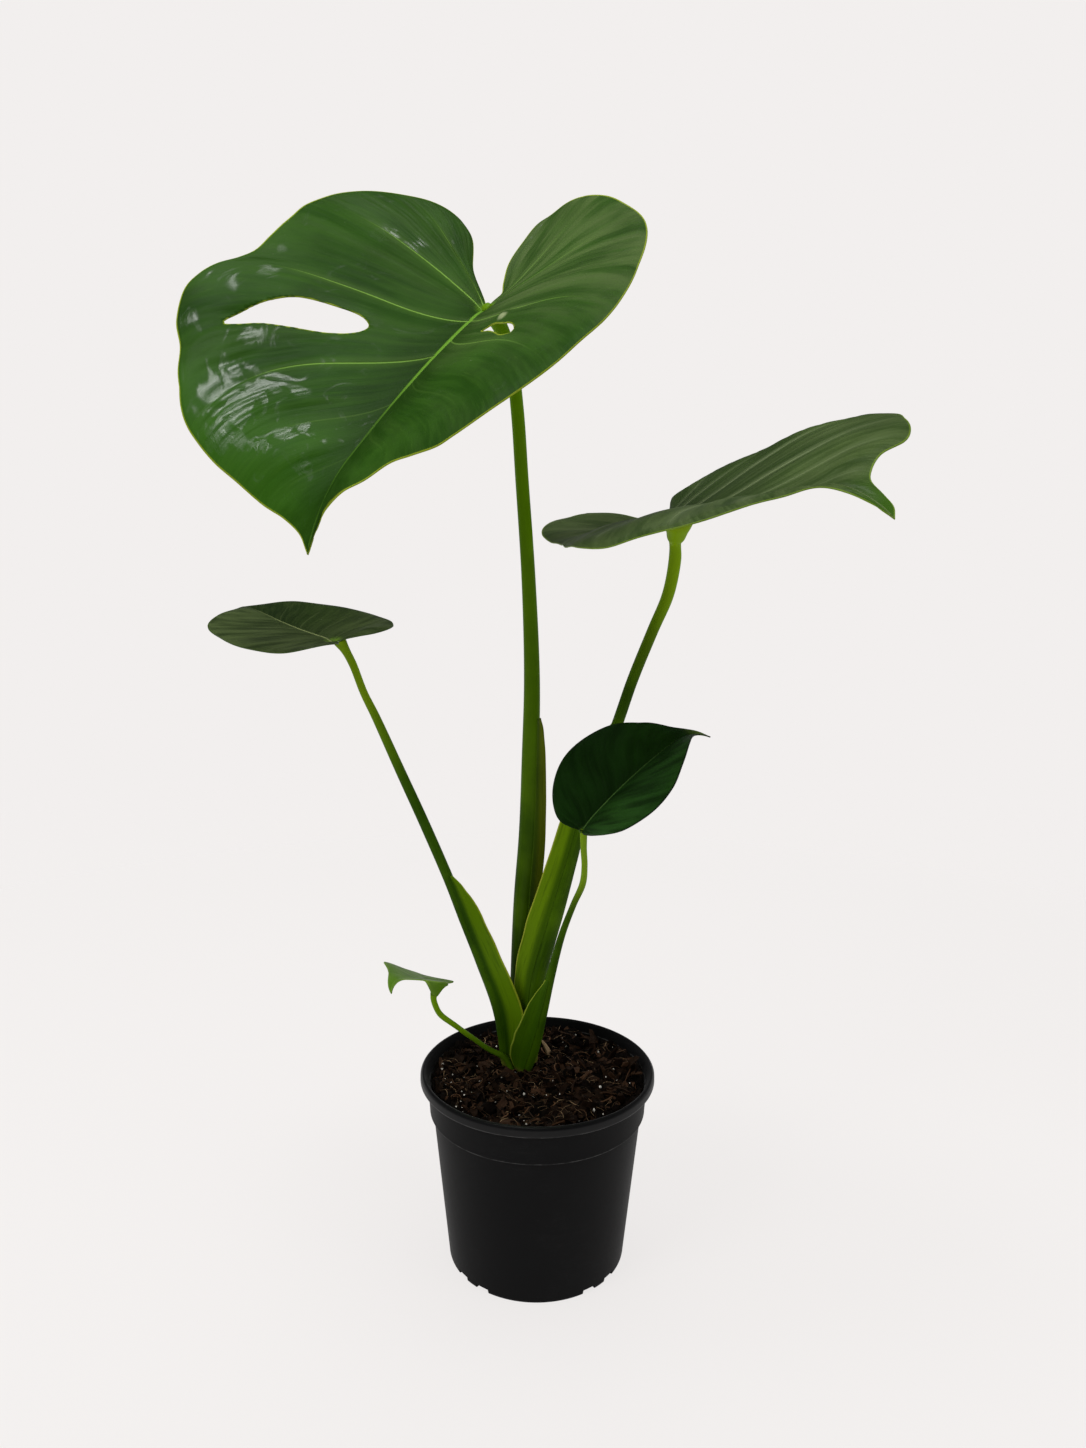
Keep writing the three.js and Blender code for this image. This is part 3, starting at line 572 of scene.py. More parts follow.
# The leaves, largest first. Margins are [along the midrib, to the left] places from the sinus to
# the tip. Veins are (station on the midrib, place of the end on the margin, sweep, strength):
# stations from -1 to 0 fan out from the stalk, and 0 to 1 run along the midrib. Crumpled, glossy
# and curled spots are a place and a reach. Lifts are a place, a reach and a height: the first lift
# of each leaf goes down, where the blade draws in to its stalk.
leaves = [
    dict(
        base=(-32.8, 0, 592.1), heading=236, pitch=-34, roll=-2, length=200,
        droop=0.23, tipDroop=0.5, lobeDroop=-0.8, folds=(0.3, 0.45), curls=(-0.5, 0.2), waves=2,
        ring=2.0, sinusFade=-0.55, rows=330, columns=58, slot="leaf_blade", seed=11,
        swell=1.4, crumple=0.75, crumpleSpots=[(110, -85, 42)], wander=0.7, rimRoll=0.8,
        glossSpots=[
            (96, -93, 8), (117, -88, 8), (135, -85, 8), (128, -69, 10), (116, -60, 9), (144, -69, 10),
            (157, -65, 8), (116, -47, 6), (100, -127, 7), (50, -112, 6), (-27, -83, 9), (-32, -62, 6),
            (154, -45, 5), (145, -38, 5), (136, -32, 5), (157, -22, 4),
        ],
        ribHeight=1.6, veinLead=6, lifts=[(0, 0, 7, -1.5), (36, 38, 6, 2.0)], curledSpots=[(39, 40, 3.2)],
        leftMargin=[
            (0, -3), (-13, 1), (-27, -4), (-45, -9), (-65, -9), (-84, -5), (-95, 8), (-95, 27), (-88, 46),
            (-73, 66), (-58, 82), (-45, 90), (-16, 100), (21, 113), (51, 120), (66, 119), (81, 113),
            (95, 107), (113, 94), (133, 82), (144, 73), (150, 67), (154, 54), (156, 39), (163, 25),
            (168, 9), (177, 1), (186, -1), (200, -3),
        ],
        rightMargin=[
            (0, -3), (-12, -11), (-30, -25), (-56, -38), (-66, -48), (-73, -61), (-76, -79), (-72, -99),
            (-61, -118), (-47, -129), (-20, -133), (8, -130), (26, -127.5), (40, -127), (50, -131),
            (61, -138), (72, -142), (84, -143), (105, -133), (120, -119), (136, -108), (149, -96),
            (157, -86), (163, -75), (169, -62), (174, -48), (181, -31), (185, -19), (191, -9), (200, -3),
        ],
        leftVeins=[
            (-1, -86, -4, 0, 0), (-0.74, -92, 36, 0.1, 0.45), (-0.46, -58, 82, 0.12, 0.35),
            (-0.05, -8, 103, 0.1, 0.1), (0.075, 55, 120, 0.1, 0.5), (0.19, 100, 103, 0.1, 0.35),
            (0.4, 140, 77, 0.12, 0.06), (0.62, 158, 36, 0.1, 0.04), (1, 200, -3, 0, 0),
        ],
        rightVeins=[
            (-1, -68, -52, 0, 0), (-0.7, -74, -92, 0.1, 0.85), (-0.25, -34, -132, 0.14, 0.95),
            (0.075, 60, -137, 0.13, 1), (0.27, 160, -82, 0.3, 0.8), (0.5, 172, -54, 0.18, 0.12),
            (0.72, 182, -27, 0.12, 0.05), (1, 200, -3, 0, 0),
        ],
        holes=[
            [(95, -110), (84, -92), (78, -77), (70, -58), (61, -46), (54, -44), (49, -51), (50, -68),
             (56, -88), (72, -102)],
            [(45, 28.5), (49.5, 37), (54, 44), (60, 52), (61, 60), (58, 60), (52, 54.5), (47, 46), (43, 35)],
        ],
    ),
    dict(
        base=(72.1, 0, 473.9), heading=-61, pitch=11, roll=20, length=173,
        droop=0.2, tipDroop=0.8, lobeDroop=-0.8, folds=(0.27, 0.27), curls=(-0.3, -0.6), waves=1.5,
        ring=2.0, sinusFade=-0.55, rows=210, columns=54, slot="leaf_blade", seed=21,
        swell=1.3, crumple=0.3, crumpleSpots=[(60, 60, 60)], wander=0.6, rimRoll=0.9, ribHeight=1.5,
        veinLead=5, lifts=[(0, 0, 9, -1.5), (16, -82, 16, -1.8), (139, -12, 14, 2)],
        leftMargin=[
            (0, 4), (-12, 15), (-26, 29), (-31, 36), (-31, 43), (-25, 54), (-16, 67), (-7, 76), (26, 80),
            (48, 86), (71, 91), (96, 90), (111, 85), (124, 74), (136, 60), (141, 48), (139, 33), (143, 20),
            (149, 12), (160, 8), (168, 6), (173, 2),
        ],
        rightMargin=[
            (0, 4), (-25, 8), (-60, 15), (-85, 11), (-97, 2), (-98, -11), (-90, -27), (-76, -39),
            (-50, -50), (-16, -64), (18, -82), (38, -92), (56, -99), (72, -99), (87, -97), (112, -89),
            (127, -84), (134, -66), (134, -38), (137, -12), (147, -4), (158, -1), (173, 2),
        ],
        leftVeins=[
            (-1, -30, 34, 0, 0), (-0.6, -17, 66, 0.06, 0.5), (-0.1, 26, 80, 0.14, 0.7),
            (0.1, 78, 91, 0.2, 0.8), (0.28, 122, 76, 0.22, 0.7), (0.48, 139, 52, 0.16, 0.4),
            (0.72, 144, 19, 0.1, 0.2), (1, 173, 2, 0, 0),
        ],
        rightVeins=[
            (-1, -90, 8, 0, 0), (-0.65, -84, -34, 0.08, 0.5), (-0.3, -40, -54, 0.12, 0.6),
            (-0.04, 19, -83, 0.12, 0.7), (0.12, 68, -99, 0.12, 0.7), (0.32, 118, -87, 0.12, 0.6),
            (0.52, 134, -56, 0.1, 0.4), (0.72, 137, -14, 0.1, 0.2), (1, 173, 2, 0, 0),
        ],
    ),
    dict(
        base=(-124.6, 0, 401.3), heading=135, pitch=4, roll=-10, length=101.5,
        droop=-0.22, tipDroop=0.2, lobeDroop=-1, folds=(0.21, 0.16), curls=(-0.5, -0.55), waves=0.8,
        ring=1.6, sinusFade=-0.5, rows=150, columns=34, slot="leaf_blade", seed=31,
        swell=0.6, crumple=0.12, crumpleSpots=[(30, 20, 40)], wander=0.35, rimRoll=0.6, ribHeight=1.0,
        veinLead=3, lifts=[(0, 0, 6, -1.5), (-16, -14, 11, 3), (-8, -38, 15, 1.1), (-28, -18, 9, -0.7)],
        leftMargin=[
            (0, 0), (-12, 5), (-26, 14), (-31, 26), (-23, 36), (-6, 44), (18, 51), (46, 49), (70, 44),
            (84, 28), (93, 11), (101, 1),
        ],
        rightMargin=[
            (0, 0), (-10, -3), (-25, -11), (-27, -24), (-14, -35), (8, -43), (32, -46), (54, -41),
            (76, -27), (91, -9), (101, 1),
        ],
        leftVeins=[
            (-1, -26, 14, 0, 0), (-0.55, -26, 33, 0.08, 0.25), (-0.05, 5, 48, 0.12, 0.3),
            (0.14, 42, 50, 0.12, 0.3), (0.34, 68, 45, 0.12, 0.25), (0.56, 80, 28, 0.1, 0.2),
            (1, 101, 1, 0, 0),
        ],
        rightVeins=[
            (-1, -25, -11, 0, 0), (-0.55, -22, -30, 0.08, 0.25), (-0.05, 6, -43, 0.12, 0.3),
            (0.14, 38, -45, 0.12, 0.3), (0.34, 62, -37, 0.12, 0.25), (0.56, 82, -21, 0.1, 0.2),
            (1, 101, 1, 0, 0),
        ],
    ),
    dict(
        base=(24.7, -46, 298.1), heading=26, pitch=44, roll=-2, length=103,
        droop=0.31, tipDroop=0.8, lobeDroop=-0.1, folds=(0.48, 0.24), curls=(-0.47, -0.54), waves=0.8,
        ring=0.8, sinusFade=-0.6, rows=150, columns=34, slot="dark_leaf_blade", seed=41,
        swell=0.5, crumple=0.1, crumpleSpots=[(40, 20, 40)], wander=0.3, rimRoll=0.5, ribHeight=0.9,
        veinLead=3, lifts=[(0, 0, 4, -1)],
        leftMargin=[
            (0, 0), (-3, 8), (-3, 20), (9, 38), (28, 50), (46, 52), (63, 46), (76, 28), (84, 13), (90, 8),
            (96, 5), (103, 0),
        ],
        rightMargin=[
            (0, 0), (-3, -8), (-1, -25), (8, -46), (24, -55), (42, -51), (60, -37), (75, -22),
            (84, -10), (89, -4.5), (95, -2.5), (103, 0),
        ],
        leftVeins=[
            (-1, -3, 8, 0, 0), (-0.5, 2, 29, 0.06, 0.22), (0.02, 34, 52, 0.12, 0.2),
            (0.2, 60, 48, 0.14, 0.14), (0.42, 77, 27, 0.12, 0.08), (1, 103, 0, 0, 0),
        ],
        rightVeins=[
            (-1, -3, -8, 0, 0), (-0.5, 1, -33, 0.06, 0.1), (0.02, 30, -55, 0.12, 0.1),
            (0.2, 56, -41, 0.14, 0.1), (0.42, 76, -21, 0.12, 0.08), (1, 103, 0, 0, 0),
        ],
    ),
    dict(
        base=(-63.3, -20.3, 192.7), heading=231, pitch=30, roll=5, length=45,
        droop=0.38, tipDroop=1.82, lobeDroop=-0.85, folds=(0.13, 0.29), curls=(-0.4, -0.4), waves=0.2,
        ring=1.0, sinusFade=-0.5, rows=110, columns=26, slot="leaf_blade", seed=51,
        swell=0.2, crumple=0.05, crumpleSpots=[(20, 0, 20)], wander=0.1, rimRoll=0.1, ribHeight=0.5,
        veinLead=1, lifts=[(0, 0, 5, -8.5), (24, -22, 9, 2)],
        leftMargin=[(0, 0), (-5, 3), (-3, 8), (3, 12), (10, 17), (20, 19), (28, 9), (36, 3), (45, 0)],
        rightMargin=[
            (0, 0), (-9, -1), (-20, -2), (-18, -6), (-9, -12), (0, -14), (10, -17), (22, -24),
            (30, -13), (36, -6), (45, 0),
        ],
        leftVeins=[
            (-1, -5, 3, 0, 0), (-0.5, -2, 9, 0.05, 0.2), (0.05, 10, 17, 0.1, 0.25),
            (0.3, 22, 17, 0.1, 0.2), (1, 45, 0, 0, 0),
        ],
        rightVeins=[
            (-1, -20, -2, 0, 0), (-0.5, -9, -12, 0.05, 0.2), (0.05, 12, -18, 0.1, 0.25),
            (0.3, 24, -22, 0.1, 0.2), (1, 45, 0, 0, 0),
        ],
    ),
]

# Looks of the blades. Colours are red, green and blue out of 255. A half tint is a painted grey-green
# sheen on one half: a colour with its shares at the joint and halfway to the tip, on the left and the
# right half. A tip tint is a colour, where it starts and its shares on the left and the right half, and
# a joint tint is a colour and how far it reaches. The midrib is as wide as ribWidth at its two ends and
# fades out at ribEnd, and the side veins fade out at veinEnd. A vein halo is the share of the pale band
# along a side vein, which is partly a painted sheen, and ribShade that of the dark one along the
# midrib. Shine and roughness are for the plain face and for its glossy spots.
bladeLooks = [
    dict(
        deep=(25, 56, 7), light=(38, 76, 13), streak=(54, 90, 24),
        half=((88, 106, 60), (0.5, 0.08), (0.12, 0.08)),
        tip=((52, 98, 18), 0.45, (0.15, 0.6)), joint=((84, 126, 24), 10), vein=(118, 158, 66), veinEnd=0.72,
        rib=(98, 144, 42), ribWidth=(2.1, 0.45), ribEnd=0.66, rim=(146, 162, 44), under=(104, 132, 74),
        veinHaloSheen=0.12, ribShade=0.55, shine=(0.05, 0.34), roughness=(0.46, 0.28),
    ),
    dict(
        deep=(36, 57, 17), light=(54, 76, 28), streak=(92, 110, 66),
        half=((88, 102, 60), (0, 0.25), (0.5, 0.32)),
        tip=((60, 104, 10), 0.78, (0.85, 0.85)), joint=((112, 138, 34), 14), vein=(118, 132, 92), veinEnd=1,
        rib=(132, 140, 100), ribWidth=(1.5, 0.6), ribEnd=1.0, rim=(110, 136, 40), under=(104, 136, 44),
        veinHaloSheen=0.55, ribShade=0.2, shine=(0.15, 0.15), roughness=(0.4, 0.4),
    ),
    dict(
        deep=(22, 38, 9), light=(38, 56, 15), streak=(64, 78, 38),
        half=((76, 90, 50), (0.6, 0.6), (0.45, 0)),
        tip=((34, 54, 14), 0.8, (0.3, 0.3)), joint=((96, 130, 30), 9), vein=(84, 96, 56), veinEnd=0.8,
        rib=(116, 126, 78), ribWidth=(1.0, 0.3), ribEnd=0.95, rim=(60, 80, 32), under=(84, 116, 36),
        veinHaloSheen=0.1, ribShade=0.3, shine=(0.15, 0.15), roughness=(0.42, 0.42),
    ),
    dict(
        deep=(5, 24, 1), light=(12, 40, 4), streak=(20, 46, 11),
        half=((36, 74, 22), (0.12, 0.12), (0.9, 0.5)),
        tip=((116, 146, 30), 0.82, (0.95, 0.95)), joint=((60, 92, 20), 5), vein=(28, 54, 16), veinEnd=0.6,
        rib=(72, 104, 46), ribWidth=(0.7, 0.25), ribEnd=0.85, rim=(8, 20, 5), under=(56, 80, 36),
        veinHaloSheen=0.15, ribShade=0.5, shine=(0.12, 0.12), roughness=(0.4, 0.4),
    ),
    dict(
        deep=(54, 90, 20), light=(84, 120, 38), streak=(104, 134, 58),
        half=((112, 132, 76), (0.3, 0.3), (0.3, 0.3)),
        tip=((84, 128, 16), 0.35, (0.85, 0.85)), joint=((86, 126, 14), 9), vein=(126, 152, 78), veinEnd=0.9,
        rib=(136, 160, 80), ribWidth=(0.7, 0.3), ribEnd=0.9, rim=(108, 140, 50), under=(88, 130, 22),
        veinHaloSheen=0.2, ribShade=0.0, shine=(0.2, 0.2), roughness=(0.4, 0.4),
    ),
]


# Colours that all the blades share: where a margin curls over, and dust
bladeTints = dict(curled=(148, 158, 116), dust=(168, 172, 150))


# One value on the left half of a blade and another on the right half
def onHalves(left, right):
    inputs = {0: readAttribute(left.id_data, "leftHalf"), 2: right, 3: left}
    return put(left.id_data, "ShaderNodeMix", inputs, data_type="FLOAT").outputs[0]


# The upper face: patches and lengthwise streaks of green, a painted grey-green sheen on one half,
# tints towards the tip and round the joint, pale veins as strong as each vein is with pale bands along
# them that are partly a painted sheen, a midrib, a thin rim and a few specks of dust, under a waxy
# gloss that is torn into patches
def upperMaterial(number, look):
    material, tree = newMaterial(f"leafUpper{number}", {"IOR": 1.45})
    place = objectPlace(tree)
    patches = spread(noiseOf(place, 16, 4), 0.34, 0.68)
    bands = streakNoise(tree, 34, 1.3, 3, 0.5)
    streaks = streakNoise(tree, 130, 2.2, 4, 0.6)
    hairs = streakNoise(tree, 420, 5, 3, 0.6)
    grain = noiseOf(place, 420, 3)
    torn = timesPlus(streakNoise(tree, 24, 6, 2, 0.5, 2.2), 2.6, -1.3)
    out, ahead, veinGap, ribGap, rimGap, jointGap, strength, curl, glossSpot = (
        readAttribute(tree, name) for name in
        ("outward", "ahead", "veinGap", "ribGap", "rimGap", "jointGap", "veinStrength", "curl", "gloss")
    )
    # A painted grey-green sheen laid over one half of the blade
    halfSheenColor, *halfSheenShares = look["half"]
    half = onHalves(*(spread(ahead, 0.02, 0.5, *ends) for ends in halfSheenShares))
    half = times(half, spread(bands, 0.3, 0.65, 0.45, 1.3))
    tipColor, tipStart, tipShares = look["tip"]
    tip = onHalves(*(spread(ahead, tipStart, 1.0, 0.0, share) for share in tipShares))
    # Pale bands along the side veins: partly the veins' own paleness, partly a painted sheen
    veinHaloSheen = spread(timesPlus(streaks, 5, veinGap), 1.5, 9, 1.0, 0.0)
    veinHaloSheen = times(veinHaloSheen, strength)
    veinHaloSheen = times(veinHaloSheen, spread(out, 0.5, look["veinEnd"], look["veinHaloSheen"], 0.0))
    jointColor, jointReach = look["joint"]
    joint = spread(timesPlus(grain, 3, jointGap), 0.3 * jointReach, jointReach, 0.85, 0.0)
    vein = reckon("DIVIDE", veinGap, spread(out, 0.0, 1.0, 0.95, 0.35))
    vein = times(spread(vein, 0.25, 1.0, 1.0, 0.0), strength)
    vein = times(vein, spread(out, 0.3, look["veinEnd"], 0.9, 0.06))
    rib = reckon("DIVIDE", ribGap, spread(ahead, 0.0, 1.0, *look["ribWidth"]))
    ribFade = spread(ahead, 0.4 * look["ribEnd"], look["ribEnd"], 0.95, 0.25)
    rib = times(spread(rib, 0.45, 1.0, 1.0, 0.0), ribFade)
    dust = spread(cellGap(place, 150.0), 0.02, 0.05, 0.6, 0.0)
    nearRib = spread(timesPlus(bands, 14, ribGap), 6, 34, look["ribShade"], 0.0)
    body = layered(
        tint(patches, look["deep"], look["light"]),
        (half, halfSheenColor),
        (spread(bands, 0.56, 0.34, 0.0, 0.4), look["deep"]),
        (spread(streaks, 0.4, 0.72, 0.0, 0.34), look["streak"]),
        (spread(hairs, 0.62, 0.8, 0.0, 0.14), look["vein"]),
        (tip, tipColor),
        (nearRib, np.array(look["deep"]) * 0.8),
        (veinHaloSheen, look["vein"]),
        (spread(curl, 0.2, 0.9, 0.0, 0.8), bladeTints["curled"]),
        (joint, jointColor),
        (vein, look["vein"]),
        (rib, look["rib"]),
        (spread(rimGap, 0.25, 1.05, 0.85, 0.0), look["rim"]),
        (times(dust, spread(patches, 0.7, 1.0)), bladeTints["dust"]),
    )
    gloss = spread(reckon("ADD", glossSpot, torn), 0.2, 0.95)
    rough = spread(gloss, 0, 1, *look["roughness"])
    rough = reckon("ADD", rough, timesPlus(streaks, 0.16, -0.08))
    rough = timesPlus(rib, 0.12, rough)
    height = timesPlus(grain, 0.12, times(hairs, 0.12))
    height = timesPlus(streaks, spread(gloss, 0.0, 1.0, 0.5, 0.06), height)
    height = timesPlus(torn, times(gloss, 0.3), height)
    height = timesPlus(vein, -0.7, height)
    height = timesPlus(rib, 0.9, height)
    wire(material, {"Specular IOR Level": spread(gloss, 0, 1, *look["shine"])})
    return finish(material, body, rough, height, 0.0005, 0.8)


# The underside: paler and duller, with its veins paler still and a bright funnel at the joint
def underMaterial(number, look):
    material, tree = newMaterial(f"leafUnder{number}", {"IOR": 1.45, "Specular IOR Level": 0.2})
    place = objectPlace(tree)
    streaks = streakNoise(tree, 160, 3, 4, 0.6)
    under = np.array(look["under"])
    vein = spread(readAttribute(tree, "veinGap"), 0.4, 1.3, 0.8, 0.0)
    vein = times(vein, readAttribute(tree, "veinStrength"))
    rib = spread(readAttribute(tree, "ribGap"), 1.0, 2.2, 0.85, 0.0)
    jointColor, jointReach = look["joint"]
    joint = spread(readAttribute(tree, "jointGap"), 0.4 * jointReach, 1.2 * jointReach, 0.9, 0.0)
    body = layered(
        tint(noiseOf(place, 22, 4), under * 0.82, under * 1.12),
        (spread(streaks, 0.4, 0.7, 0.0, 0.3), under * 0.86),
        (reckon("MAXIMUM", vein, rib), under * 1.12 + (34, 26, 4)),
        (joint, jointColor),
    )
    rough = spread(streaks, 0.2, 0.8, 0.5, 0.66)
    height = timesPlus(streaks, 0.5, times(noiseOf(place, 700, 2), 0.3))
    return finish(material, body, rough, height, 0.0004, 0.7)


for index, (leaf, look) in enumerate(zip(leaves, bladeLooks), 1):
    makeBlade(index, leaf, look)


# Leaf stalks. A route is [x, y, z, radius] places from the crown up to the blade. A wing is the
# open edge of the sheath as [share of the route, height, angle] knots, where the angle is the way
# it points (0 to the right, 90 to the front). Its edge ripples by ripple.
stalks = [
    dict(
        route=[
            (-12.5, 27, 116, 4.2), (-12.7, 29, 153, 6), (-12.1, 29.5, 184, 6.1), (-10.3, 28, 230, 6.1),
            (-7.3, 26, 275, 5.9), (-6, 24, 326, 5.5), (-5.3, 21, 375, 5), (-7.7, 18, 437, 4.3),
            (-11.9, 16, 496, 4), (-14.9, 15, 537, 3.9), (-18.6, 12, 565, 3.8), (-24.6, 7, 582, 4.4),
            (-30.2, 0.8, 589.2, 4.4), (-32.6, -2.2, 591.8, 2.8),
        ],
        wing=[(0, 1, 0), (0.1, 5, 0), (0.28, 5.6, 0), (0.34, 5.2, 0), (0.39, 4, 0), (0.415, 2.4, 0),
              (0.424, 0.3, 0)],
        ripple=0.2, deep=(42, 68, 2), light=(62, 90, 4), high=(104, 148, 2),
        paintedLightSpan=(0.25, 0.8), joint=(88, 124, 16),
        wingNear=(56, 78, 6), wingFar=(86, 96, 10), edge=(116, 96, 34),
    ),
    dict(
        route=[
            (-4.6, 20, 116, 4), (-3.5, 18.5, 156.5, 6.4), (-0.8, 18.5, 182.5, 6.4), (4.8, 19, 205, 6.4),
            (10.5, 19, 226, 6.2), (19.8, 20, 260, 5), (28.3, 21, 292, 4.1), (47.7, 22, 345, 3.6),
            (57.3, 20, 375.5, 3.5), (68.8, 16, 407, 3.5), (77, 12, 429, 3.7), (80, 7, 450, 3.8),
            (79.3, 1.8, 460.8, 3.75), (79.3, -0.6, 463.3, 5.3), (79.5, -4, 467.4, 6.7),
            (79.3, -5.9, 471, 9.4), (78.5, -6.2, 474, 12.8),
        ],
        wing=[(0, 3, 176), (0.07, 6, 172), (0.143, 9, 168), (0.214, 10.2, 165), (0.286, 9.5, 165),
              (0.33, 9.2, 165), (0.357, 8.8, 165), (0.385, 7, 165), (0.41, 4, 165), (0.428, 1.8, 165),
              (0.44, 0.2, 165)],
        ripple=0.2, deep=(44, 72, 1), light=(68, 100, 3), high=(126, 160, 2),
        paintedLightSpan=(0.48, 0.68), joint=(126, 148, 12),
        wingNear=(55, 84, 1), wingFar=(98, 130, 5), edge=(170, 176, 60),
    ),
    dict(
        route=[
            (-20.2, 20, 116, 3.6), (-25, 20, 156, 4.7), (-37.2, 17, 192, 3.9), (-47.9, 14, 221.5, 3.5),
            (-57.1, 12, 247.5, 3.3), (-72.3, 9, 286, 3.2), (-86.4, 6, 320, 3), (-100.6, 4, 354, 2.6),
            (-107.3, 2.6, 369, 2.35), (-113.3, 1.8, 386, 2.4), (-117.4, 1.3, 394.5, 2.7),
            (-120.6, 0.7, 400.1, 3.9),
        ],
        wing=[(0, 6, 35), (0.05, 12, 35), (0.09, 14, 34), (0.15, 13.6, 32), (0.18, 12.6, 30),
              (0.23, 11.5, 28), (0.27, 10.5, 25), (0.32, 7.8, 25), (0.35, 4.4, 25), (0.365, 1.4, 25),
              (0.37, 0.2, 25)],
        ripple=0.3, deep=(40, 71, 1), light=(58, 91, 2), high=(122, 154, 14),
        paintedLightSpan=(0.5, 0.78), joint=(112, 142, 8),
        wingNear=(39, 70, 1), wingFar=(87, 120, 3), edge=(154, 165, 40),
    ),
    dict(
        route=[
            (-8.7, 12, 116, 3.8), (-2.8, 8.6, 137, 4.4), (1.4, 6, 156, 3.9), (8.1, 1, 189, 2.9),
            (14.6, -9, 219.5, 2.2), (21.2, -19.8, 243, 1.9), (26.2, -28.5, 259, 2), (26.9, -36, 272.5, 1.8),
            (26, -42, 285, 1.9), (25.6, -45.4, 295.4, 2.0), (25.3, -46, 297.3, 1.6),
        ],
        wing=[(0, 1, 165), (0.03, 6, 163), (0.06, 10, 160), (0.1, 11.5, 158), (0.15, 11.5, 156),
              (0.2, 10.3, 154), (0.24, 8, 152), (0.265, 4.5, 150), (0.28, 1.5, 150), (0.29, 0.2, 150)],
        ripple=0.2, deep=(40, 68, 2), light=(60, 92, 3), high=(116, 148, 20),
        paintedLightSpan=(0.45, 0.66), joint=(122, 152, 30),
        wingNear=(48, 80, 3), wingFar=(58, 92, 4), edge=(144, 160, 50),
    ),
    dict(
        route=[
            (-16, 13, 116, 2.3), (-21, 11.3, 126.5, 2), (-31.8, 7, 135, 1.7), (-39.8, 3, 143, 1.6),
            (-52.4, -7, 158, 1.7), (-60.9, -13, 168, 1.8), (-63.6, -17.3, 176, 1.8),
            (-64.5, -19.2, 181.5, 1.9), (-64.1, -19.9, 185, 2.3),
        ],
        wing=[], ripple=0, deep=(54, 84, 4), light=(86, 122, 8), high=(108, 150, 8),
        paintedLightSpan=(0.2, 0.6), joint=(104, 142, 20),
        wingNear=(90, 120, 20), wingFar=(90, 120, 20), edge=(120, 140, 40),
    ),
]


# Level directions square to a route, to the right and to the front at each of its points
def routeFrame(centres):
    along = unit(np.gradient(centres, axis=0))
    front = np.array([0.0, -1.0, 0.0])
    forward = unit(front - (along @ front)[:, None] * along)
    return np.cross(along, forward), forward


# A tube whose ring i lies at centre i with its own radius: centre + r (right cos a + forward sin a).
# A channel along one side takes its share off r at channelAngle, and both ends are closed.
def tube(route, sides, channel, channelAngle):
    centres, radius = route[:, :3], route[:, 3]
    right, forward = routeFrame(centres)
    angle = wholeTurn(sides)
    dip = channel * hump(np.angle(np.exp(1j * (angle - channelAngle))), 0.55)
    reach = radius[:, None] * (1 - dip)[None]
    points = (
        centres[:, None]
        + reach[:, :, None] * (right[:, None] * np.cos(angle)[None, :, None]
                               + forward[:, None] * np.sin(angle)[None, :, None])
    ).reshape(-1, 3)
    index = np.arange(len(points)).reshape(len(route), sides)
    walls = roundFaces(index)[:, ::-1]
    caps = np.vstack([fanFaces(index[0], len(points)), fanFaces(index[-1], len(points) + 1)[:, ::-1]])
    points = np.vstack([points, centres[:1], centres[-1:]])
    share = np.append(np.repeat(np.linspace(0, 1, len(route)), sides), [0, 1])
    turn = np.append(np.tile(angle / (2 * np.pi), len(route)), [0, 0])
    return points, walls, caps, share, turn


# The sheath's wing as a curved sheet. Across the stalk it is the curve (1-v)^2 A + 2v(1-v) B + v^2 C:
# A lies on the stalk a turn nearer the front, B ahead of it on the line that touches the stalk
# there, and C as far out as the wing is high, so that the front runs on from the stalk.
def wingSheet(route, knots, ripple, rows, columns):
    knots = np.array(knots, float)
    share = np.linspace(0, knots[-1, 0], rows)
    steps = np.linspace(0, 1, len(route))
    place = readOff(route, share, steps)
    radius = place[:, 3]
    right, forward = routeFrame(place[:, :3])
    kernel = np.hanning(7) / np.hanning(7).sum()  # a short running mean, which rounds the knots off
    height, angle = (
        np.convolve(np.pad(np.interp(share, knots[:, 0], column), 3, mode="edge"), kernel, mode="valid")
        for column in knots.T[1:]
    )
    rippleTurns, swayTurns = 90, 70
    height = height * (1 + 0.06 * ripple * np.sin(share * rippleTurns))
    angle = np.radians(angle)
    turned = np.radians(50)
    toFront = np.where(angle < np.pi / 2, turned, -turned)
    start, reach = angle + toFront, np.minimum(radius / np.cos(turned), radius + 0.5 * height)
    rootSide = (radius - 0.3)[:, None] * (right * np.cos(start)[:, None] + forward * np.sin(start)[:, None])
    way = right * np.cos(angle)[:, None] + forward * np.sin(angle)[:, None]
    across = np.cross(way, np.cross(right, forward))
    v = np.linspace(0, 1, columns)[None, :, None]
    bend = (
        (1 - v) ** 2 * rootSide[:, None] + 2 * v * (1 - v) * (way * reach[:, None])[:, None]
        + v**2 * (way * (radius + height)[:, None])[:, None]
    )
    sway = ripple * np.sin(share * swayTurns)[:, None, None] * v**3 * across[:, None]
    points = place[:, None, :3] + bend + sway
    return points.reshape(-1, 3), np.repeat(share, columns), np.tile(v.ravel(), rows)


# Colours that all the stalks share: the yellowish foot and pale flecks
stalkTints = dict(foot=(120, 112, 50), fleck=(140, 152, 70))
